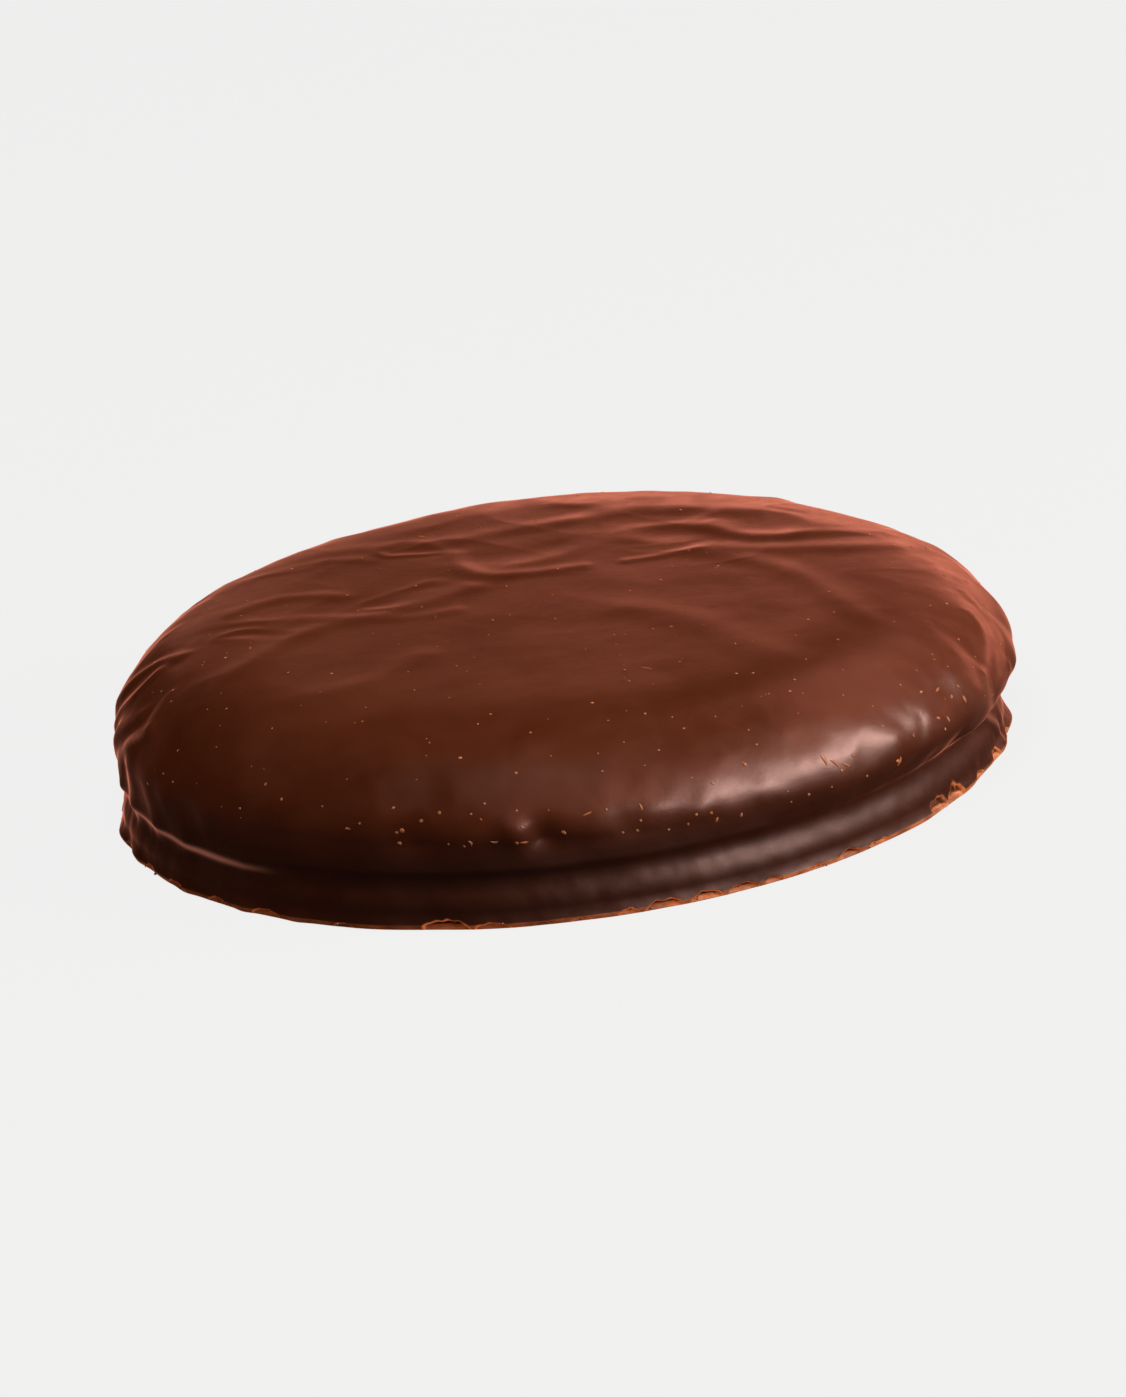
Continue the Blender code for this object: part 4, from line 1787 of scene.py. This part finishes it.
def local_axes(normal: Array, angle: Array, steep: float = 0.9) -> Array:
    """Three unit axes at each place: two along the skin, turned by an angle, and the normal.

    Args:
        normal: Unit normals, one a row.
        angle: Turns about the normal.
        steep: The normal's z above which the axes start from x and not from z.

    Returns:
        An array of 3 by 3 matrices whose rows are the axes.
    """
    helper = np.where(np.abs(normal[:, 2:3]) > steep, (1.0, 0.0, 0.0), (0.0, 0.0, 1.0))
    first = np.cross(helper, normal)
    first /= np.linalg.norm(first, axis=1, keepdims=True)
    second = np.cross(normal, first)
    cosine = np.cos(angle)[:, None]
    sine = np.sin(angle)[:, None]
    return np.stack((cosine * first + sine * second, cosine * second - sine * first, normal), axis=1)


def stamped(
    points: Array, triangles: Array, places: Array, axes: Array, sizes: Array
) -> tuple[Array, Array]:
    """Copies one small shape to many places.

    Args:
        points: The shape's points, about 1 across.
        triangles: The shape's triangles.
        places: Where the copies go.
        axes: The axes of each copy.
        sizes: The copies' sizes along the three axes.

    Returns:
        All the points and all the triangles.
    """
    copies = np.einsum("kc,mc,mcd->mkd", points, sizes, axes) + places[:, None, :]
    shifts = np.arange(len(places))[:, None, None] * len(points)
    return copies.reshape(-1, 3), (triangles[None] + shifts).reshape(-1, 3)


def dome_shape(
    sides: int = 8, rings: tuple[Span, Span] = ((0.34, 0.36), (0.5, -0.05)), ends: Span = (0.5, -0.4)
) -> tuple[Array, Array]:
    """A low closed dome: a top, a ring at its shoulder, a ring at its foot and a bottom point.

    Args:
        sides: Points round each ring.
        rings: Radius and height of the shoulder and of the foot, for a dome 1 across.
        ends: Heights of the top and the bottom point.

    Returns:
        The points and the triangles.
    """
    turn = np.arange(sides) * 2 * math.pi / sides
    circle = np.column_stack((np.cos(turn), np.sin(turn), np.zeros(sides)))
    shoulder, foot = (circle * radius + (0.0, 0.0, height) for radius, height in rings)
    tips = [(0.0, 0.0, height) for height in ends]
    points = np.vstack((shoulder, foot, tips))
    upper = np.arange(sides)
    lower = upper + sides
    quads = strip_quads(upper, lower)
    halves = np.vstack((quads[:, (0, 1, 2)], quads[:, (0, 2, 3)]))
    top = fan(upper, 2 * sides, upwards=True)
    bottom = fan(lower, 2 * sides + 1, upwards=False)
    return points, np.vstack((halves, top, bottom))


@dataclass
class Pinholes(Piece):
    """Tiny pale specks where air reached the surface of the coat.

    The known ones are a bearing in degrees, a reach in radii and a width.
    """

    count: int = 300
    size: Span = (0.00013, 0.00030)
    reaches: Span = (0.02, 1.08)
    roundness: Span = (0.7, 1.0)
    rise_share: float = 0.2
    lift: float = 0.00001
    known_scale: float = 0.8
    known: tuple[tuple[float, float, float], ...] = (
        (-73.8, 1.076, 0.00034),
        (-76.8, 1.091, 0.00030),
        (-79.2, 1.096, 0.00024),
        (-83.2, 1.087, 0.00028),
        (-85.0, 1.087, 0.00030),
        (-51.5, 1.092, 0.00030),
        (-60.5, 1.089, 0.00032),
        (-57.2, 1.087, 0.00024),
        (-63.0, 1.094, 0.00022),
        (-36.2, 1.072, 0.00034),
        (-112.5, 1.058, 0.00046),
        (-113.2, 1.062, 0.00034),
        (-112.9, 1.088, 0.00038),
        (-106.5, 1.086, 0.00026),
        (-104.5, 1.090, 0.00026),
        (-118.0, 1.046, 0.00030),
        (-119.5, 1.060, 0.00026),
        (-124.0, 1.020, 0.00028),
        (-98.0, 1.085, 0.00036),
        (-92.2, 1.073, 0.00050),
    )

    def build(self) -> bpy.types.Object:
        """Stamps a low dome at each place, most of them small.

        Returns:
            The new object.
        """
        turn, reach = Scatter(self.skin, SEED + 40).places(self.count, self.reaches)
        draw = np.random.default_rng(SEED + 41)
        size = self.size[0] + (self.size[1] - self.size[0]) * draw.uniform(0, 1, len(turn)) ** 2
        degrees, shares, known_size = np.array(self.known).T
        turn = np.concatenate((turn, np.radians(degrees)))
        reach = np.concatenate((reach, shares * self.skin.profile.turning.radius))
        size = np.concatenate((size, known_size * self.known_scale))
        normal = self.skin.normals(turn, reach)
        places = self.skin.points(turn, reach) + normal * self.lift
        axes = local_axes(normal, draw.uniform(0, math.pi, len(turn)))
        across = size * draw.uniform(*self.roundness, len(turn))
        sizes = np.column_stack((size, across, size * self.rise_share))
        shape, triangles = dome_shape()
        points, triangles = stamped(shape, triangles, places, axes, sizes)
        return Patch("pinholes", points, triangles=triangles).build()


@dataclass(frozen=True)
class Scuff:
    """A short raised scratch on the skin: where it starts, its heading, length and curl."""

    degrees: float
    reach_share: float
    heading: float
    length: float
    curl: float = 0.0
    width: float = 0.00016


@dataclass
class Scuffs(Piece):
    """Short pale worm-like scuffs, thick in the middle and thin at both ends."""

    marks: tuple[Scuff, ...] = (
        Scuff(-45.8, 1.078, 80, 0.0007, 0.5, 0.00026),
        Scuff(-46.6, 1.084, 10, 0.0004, 0.3, 0.00030),
        Scuff(-34.8, 1.050, 75, 0.0005, 0.2, 0.00026),
        Scuff(-37.0, 1.041, 10, 0.0004, 0.3, 0.00024),
        Scuff(-29.5, 1.034, 85, 0.0006, 0.2, 0.00034),
        Scuff(-31.2, 1.020, 150, 0.0004, 0.2, 0.00026),
        Scuff(-32.5, 0.990, 165, 0.0007, 0.1, 0.00022),
        Scuff(-36.0, 0.975, 175, 0.0004, 0.1, 0.00018),
        Scuff(-57.4, 1.012, 60, 0.0009, 0.4, 0.00028),
        Scuff(-56.4, 1.030, 30, 0.0009, 0.5, 0.00024),
        Scuff(-55.0, 1.044, 20, 0.0007, 0.3, 0.00022),
        Scuff(-73.0, 1.088, 95, 0.0004, 0.1, 0.00020),
        Scuff(-69.8, 1.090, 80, 0.0004, 0.1, 0.00018),
        Scuff(-104.0, 1.078, 20, 0.0005, 0.8, 0.00020),
        Scuff(-100.2, 1.080, 150, 0.0006, 0.6, 0.00018),
        Scuff(-96.6, 1.086, 170, 0.0006, 0.3, 0.00022),
        Scuff(-88.5, 1.034, 150, 0.0007, 0.2, 0.00018),
        Scuff(-82.5, 1.030, 60, 0.0005, 0.3, 0.00016),
        Scuff(-72.0, 0.55, 20, 0.0012, 0.3, 0.00014),
        Scuff(40.0, 0.80, 75, 0.0008, 0.2, 0.00022),
        Scuff(118.0, 0.62, 200, 0.0008, 0.4, 0.00020),
        Scuff(178.0, 0.90, 60, 0.0007, 0.2, 0.00022),
    )
    sections: int = 11
    sides: int = 6
    rise_share: float = 0.35
    tips: Span = (0.02, 0.98)
    fullness: float = 0.7

    def build(self) -> bpy.types.Object:
        """A tube along each scuff's curved path on the skin.

        The path leaves its start at the heading and bends evenly by the curl. The tube's section is
        a flat oval, and its width follows half a sine wave from end to end.

        Returns:
            The new object.
        """
        points, triangles, count = [], [], 0
        for mark in self.marks:
            own_points, own_triangles = self.tube(mark)
            points.append(own_points)
            triangles.append(own_triangles + count)
            count += len(own_points)
        return Patch("scuffs", np.vstack(points), triangles=np.vstack(triangles)).build()

    def tube(self, mark: Scuff) -> tuple[Array, Array]:
        """The points and triangles of one scuff's tube.

        Args:
            mark: The scuff.

        Returns:
            Its points and its triangles.
        """
        radius = self.skin.profile.turning.radius
        share = np.linspace(0.0, 1.0, self.sections)
        heading = math.radians(mark.heading) + mark.curl * share * 2
        step = mark.length / (self.sections - 1)
        east = np.concatenate(([0.0], np.cumsum(np.cos(heading[:-1])))) * step
        outward = np.concatenate(([0.0], np.cumsum(np.sin(heading[:-1])))) * step
        reach = mark.reach_share * radius + outward
        turn = math.radians(mark.degrees) + east / radius
        middle = self.skin.points(turn, reach)
        normal = self.skin.normals(turn, reach)
        along = np.gradient(middle, axis=0)
        along /= np.linalg.norm(along, axis=1, keepdims=True)
        across = np.cross(normal, along)
        width = mark.width / 2 * np.sin(math.pi * np.clip(share, *self.tips)) ** self.fullness
        angle = np.arange(self.sides) * 2 * math.pi / self.sides
        sideways = (width[:, None] * np.cos(angle))[..., None] * across[:, None, :]
        upwards = (width[:, None] * self.rise_share * np.sin(angle))[..., None] * normal[:, None, :]
        body = (middle[:, None, :] + sideways + upwards).reshape(-1, 3)
        rings = [self.sides * row + np.arange(self.sides) for row in range(self.sections)]
        quads = np.vstack([strip_quads(near, far) for near, far in zip(rings, rings[1:])])
        halves = np.vstack((quads[:, (0, 2, 1)], quads[:, (0, 3, 2)]))
        first = fan(rings[0], len(body), upwards=False)
        last = fan(rings[-1], len(body) + 1, upwards=True)
        points = np.vstack((body, middle[:1], middle[-1:]))
        return points, np.vstack((halves, first, last))


@dataclass
class Crumbs(Piece):
    """Small angular crumbs that cling to the chips of the foot."""

    count: int = 150
    size: Span = (0.00008, 0.00026)
    arc: Span = (0.05, 0.95)
    nearness: Span = (0.55, 1.08)
    lowest: float = 0.0001
    stretch: Span = (0.6, 1.2)
    sides: int = 5
    tallness: float = 1.6

    def build(self) -> bpy.types.Object:
        """Stamps a rough grain near the edge of the chips, sunk by a third.

        Returns:
            The new object.
        """
        draw = np.random.default_rng(SEED + 50)
        chips = list(self.skin.chip_row.chips())
        pick = draw.integers(0, len(chips), self.count)
        centre = np.radians([chips[i].degrees for i in pick])
        half_width = np.array([chips[i].half_width for i in pick])
        rise = np.array([chips[i].rise for i in pick])
        angle = draw.uniform(self.arc[0] * math.pi, self.arc[1] * math.pi, self.count)
        near = draw.uniform(*self.nearness, self.count)
        profile = self.skin.profile
        turn = centre + near * np.cos(angle) * half_width / profile.turning.radius
        height = np.clip(near * np.sin(angle) * rise, self.lowest, None)
        falling = profile.reach[-(len(profile.reach) // 3):]
        heights = profile.height[-(len(profile.reach) // 3):]
        reach = np.interp(-height, -heights[:-2], falling[:-2])
        normal = self.skin.normals(turn, reach)
        size = self.size[0] + (self.size[1] - self.size[0]) * draw.uniform(0, 1, self.count) ** 2
        sizes = size[:, None] * draw.uniform(*self.stretch, (self.count, 3))
        axes = local_axes(normal, draw.uniform(0, math.pi, self.count))
        shape, triangles = dome_shape(self.sides)
        shape = shape * (1.0, 1.0, self.tallness)
        points, triangles = stamped(shape, triangles, self.skin.points(turn, reach), axes, sizes)
        return Patch("crumbs", points, triangles=triangles).build()


# The room.


@dataclass(frozen=True)
class Panel:
    """A soft rectangular light, placed by azimuth and elevation about the biscuit, in degrees.

    Azimuth 0 is in front of it, on the camera's side, and 90 to its right.
    """

    name: str
    azimuth: float
    elevation: float
    distance: float
    size: Span
    power: float
    colour: Colour
    diffuse: bool = True
    glossy: bool = True

    def build(self) -> bpy.types.Object:
        """Adds the light, facing the biscuit.

        Returns:
            The light's object.
        """
        light = bpy.data.lights.new(self.name, "AREA")
        light.shape = "RECTANGLE"
        light.size, light.size_y = self.size
        light.energy = self.power
        light.color = self.colour
        lamp = bpy.data.objects.new(self.name, light)
        around = math.radians(self.azimuth)
        above = math.radians(self.elevation)
        level = math.cos(above)
        place = Vector((math.sin(around) * level, -math.cos(around) * level, math.sin(above)))
        lamp.location = place * self.distance
        lamp.rotation_euler = place.to_track_quat("Z", "Y").to_euler()
        lamp.visible_camera = False
        lamp.visible_diffuse = self.diffuse
        lamp.visible_glossy = self.glossy
        bpy.context.scene.collection.objects.link(lamp)
        return lamp


@dataclass(frozen=True)
class Viewpoint:
    """The camera: how high, how far, how tilted, and how much of the frame the biscuit fills."""

    elevation: float = 19.2
    roll: float = 6.85
    distance_radii: float = 20.0
    aim_height: float = 0.0049
    fill: float = 0.80
    sensor: float = 36.0
    clip: Span = (0.01, 10.0)

    def build(self, turning: Turning) -> bpy.types.Object:
        """Adds the camera and makes it the scene's.

        Args:
            turning: The turned shape, for its radius.

        Returns:
            The camera's object.
        """
        data = bpy.data.cameras.new("camera")
        data.sensor_fit = "HORIZONTAL"
        data.sensor_width = self.sensor
        data.lens = self.sensor * self.fill * self.distance_radii / 2
        data.clip_start, data.clip_end = self.clip
        camera = bpy.data.objects.new("camera", data)
        above = math.radians(self.elevation)
        back = Vector((0.0, -math.cos(above), math.sin(above)))
        aim = Vector((0.0, 0.0, self.aim_height))
        camera.location = aim + back * self.distance_radii * turning.radius
        upright = back.to_track_quat("Z", "Y").to_matrix().to_4x4()
        turned = upright @ Matrix.Rotation(math.radians(-self.roll), 4, "Z")
        camera.rotation_euler = turned.to_euler()
        bpy.context.scene.collection.objects.link(camera)
        bpy.context.scene.camera = camera
        return camera


@dataclass(frozen=True)
class Studio:
    """A pale floor and surround with soft lights over the biscuit."""

    pale: float = 0.862
    floor_glow: float = 0.840
    floor_mirrored: Colour = (0.085, 0.0190, 0.0080)
    floor_albedo: float = 0.05
    floor_size: float = 4.0
    floor_drop: float = 0.00003
    fill_colour: Colour = (1.0, 0.34, 0.20)
    fill_strength: float = 0.014
    panels: tuple[Panel, ...] = (
        Panel("overhead", -14, 75, 0.45, (0.30, 0.24), 1.05, (1.0, 0.98, 0.86), glossy=False),
        Panel("key", 63, 31, 0.40, (0.43, 0.05), 2.35, (1.0, 0.66, 0.58), diffuse=False),
        Panel("key_top", 60, 50, 0.40, (0.40, 0.12), 0.38, (1.0, 0.46, 0.33), diffuse=False),
        Panel("front_top", -8, 50, 0.42, (0.34, 0.10), 0.075, (1.0, 0.46, 0.33), diffuse=False),
        Panel("key_soft", 74, 20, 0.45, (0.24, 0.18), 1.50, (1.0, 0.86, 0.66), glossy=False),
        Panel("right_top", 130, 46, 0.45, (0.34, 0.20), 0.33, (1.0, 0.36, 0.25), diffuse=False),
        Panel("back_glow", 151, 8, 0.30, (0.34, 0.05), 0.205, (1.0, 0.29, 0.19), diffuse=False),
        Panel("back_left", 192, 12, 0.32, (0.10, 0.05), 0.014, (1.0, 0.33, 0.22), diffuse=False),
    )

    def build(self) -> None:
        """Adds the floor, the surround and the lights."""
        self.floor()
        self.surround()
        for panel in self.panels:
            panel.build()
        scene = bpy.context.scene
        scene.view_settings.view_transform = "Standard"
        scene.view_settings.look = "None"

    def floor(self) -> bpy.types.Object:
        """A plain pale plane that glows, so that it stays even and takes only a faint shadow.

        Returns:
            The floor's object.
        """
        half = self.floor_size / 2
        corners = np.full((4, 3), -self.floor_drop)
        corners[:, :2] = ((-half, -half), (half, -half), (half, half), (-half, half))
        floor = Patch("floor", corners, np.array(((0, 1, 2, 3),))).build()
        material = bpy.data.materials.new("pale_floor")
        material.use_nodes = True
        shader = material.node_tree.nodes["Principled BSDF"]
        shader.inputs["Base Color"].default_value = rgba((self.floor_albedo,) * 3)
        shader.inputs["Roughness"].default_value = 1.0
        shader.inputs["Specular IOR Level"].default_value = 0.0
        graph = Graph(material.node_tree)
        seen = graph.add("ShaderNodeLightPath").outputs["Is Camera Ray"]
        glow = graph.mix(seen, rgba(self.floor_mirrored), rgba((self.floor_glow,) * 3))
        graph.feed(shader.inputs["Emission Color"], glow)
        shader.inputs["Emission Strength"].default_value = 1.0
        floor.data.materials.append(material)
        floor.visible_diffuse = False
        floor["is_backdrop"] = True
        return floor

    def surround(self) -> None:
        """A surround that looks pale and lights the biscuit dimly."""
        world = bpy.data.worlds.new("surround")
        world.use_nodes = True
        bpy.context.scene.world = world
        tree = world.node_tree
        tree.nodes.clear()
        graph = Graph(tree)
        seen = graph.add("ShaderNodeBackground", color=rgba((self.pale,) * 3), strength=1.0)
        fill = graph.add("ShaderNodeBackground", color=rgba(self.fill_colour), strength=self.fill_strength)
        looked_at = graph.add("ShaderNodeLightPath").outputs["Is Camera Ray"]
        ends = {"shader_1": fill.outputs[0], "shader_2": seen.outputs[0]}
        both = graph.add("ShaderNodeMixShader", fac=looked_at, **ends)
        graph.add("ShaderNodeOutputWorld", surface=both.outputs[0])


def write_sizes() -> None:
    boxes = {"cad": CAD_BOUNDS, "visual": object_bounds()}
    plain = {name: [list(corner) for corner in box] for name, box in boxes.items()}


def main() -> None:
    """Builds the room, the coat and what lies on it, in order."""
    logging.basicConfig(level=logging.INFO, format="%(message)s")
    skin = Skin()
    Viewpoint().build(skin.profile.turning)
    Studio().build()
    coat = CoatFinish("chocolate_coat").build()
    grains = GrainFinish("broken_chocolate").build()
    for part in (UpperCoat(skin), LowerCoat(skin), Sole(skin)):
        part.dress(coat)
    for part in (Pinholes(skin), Scuffs(skin), Crumbs(skin)):
        part.dress(grains)
    write_sizes()


if __name__ == "__main__":
    main()
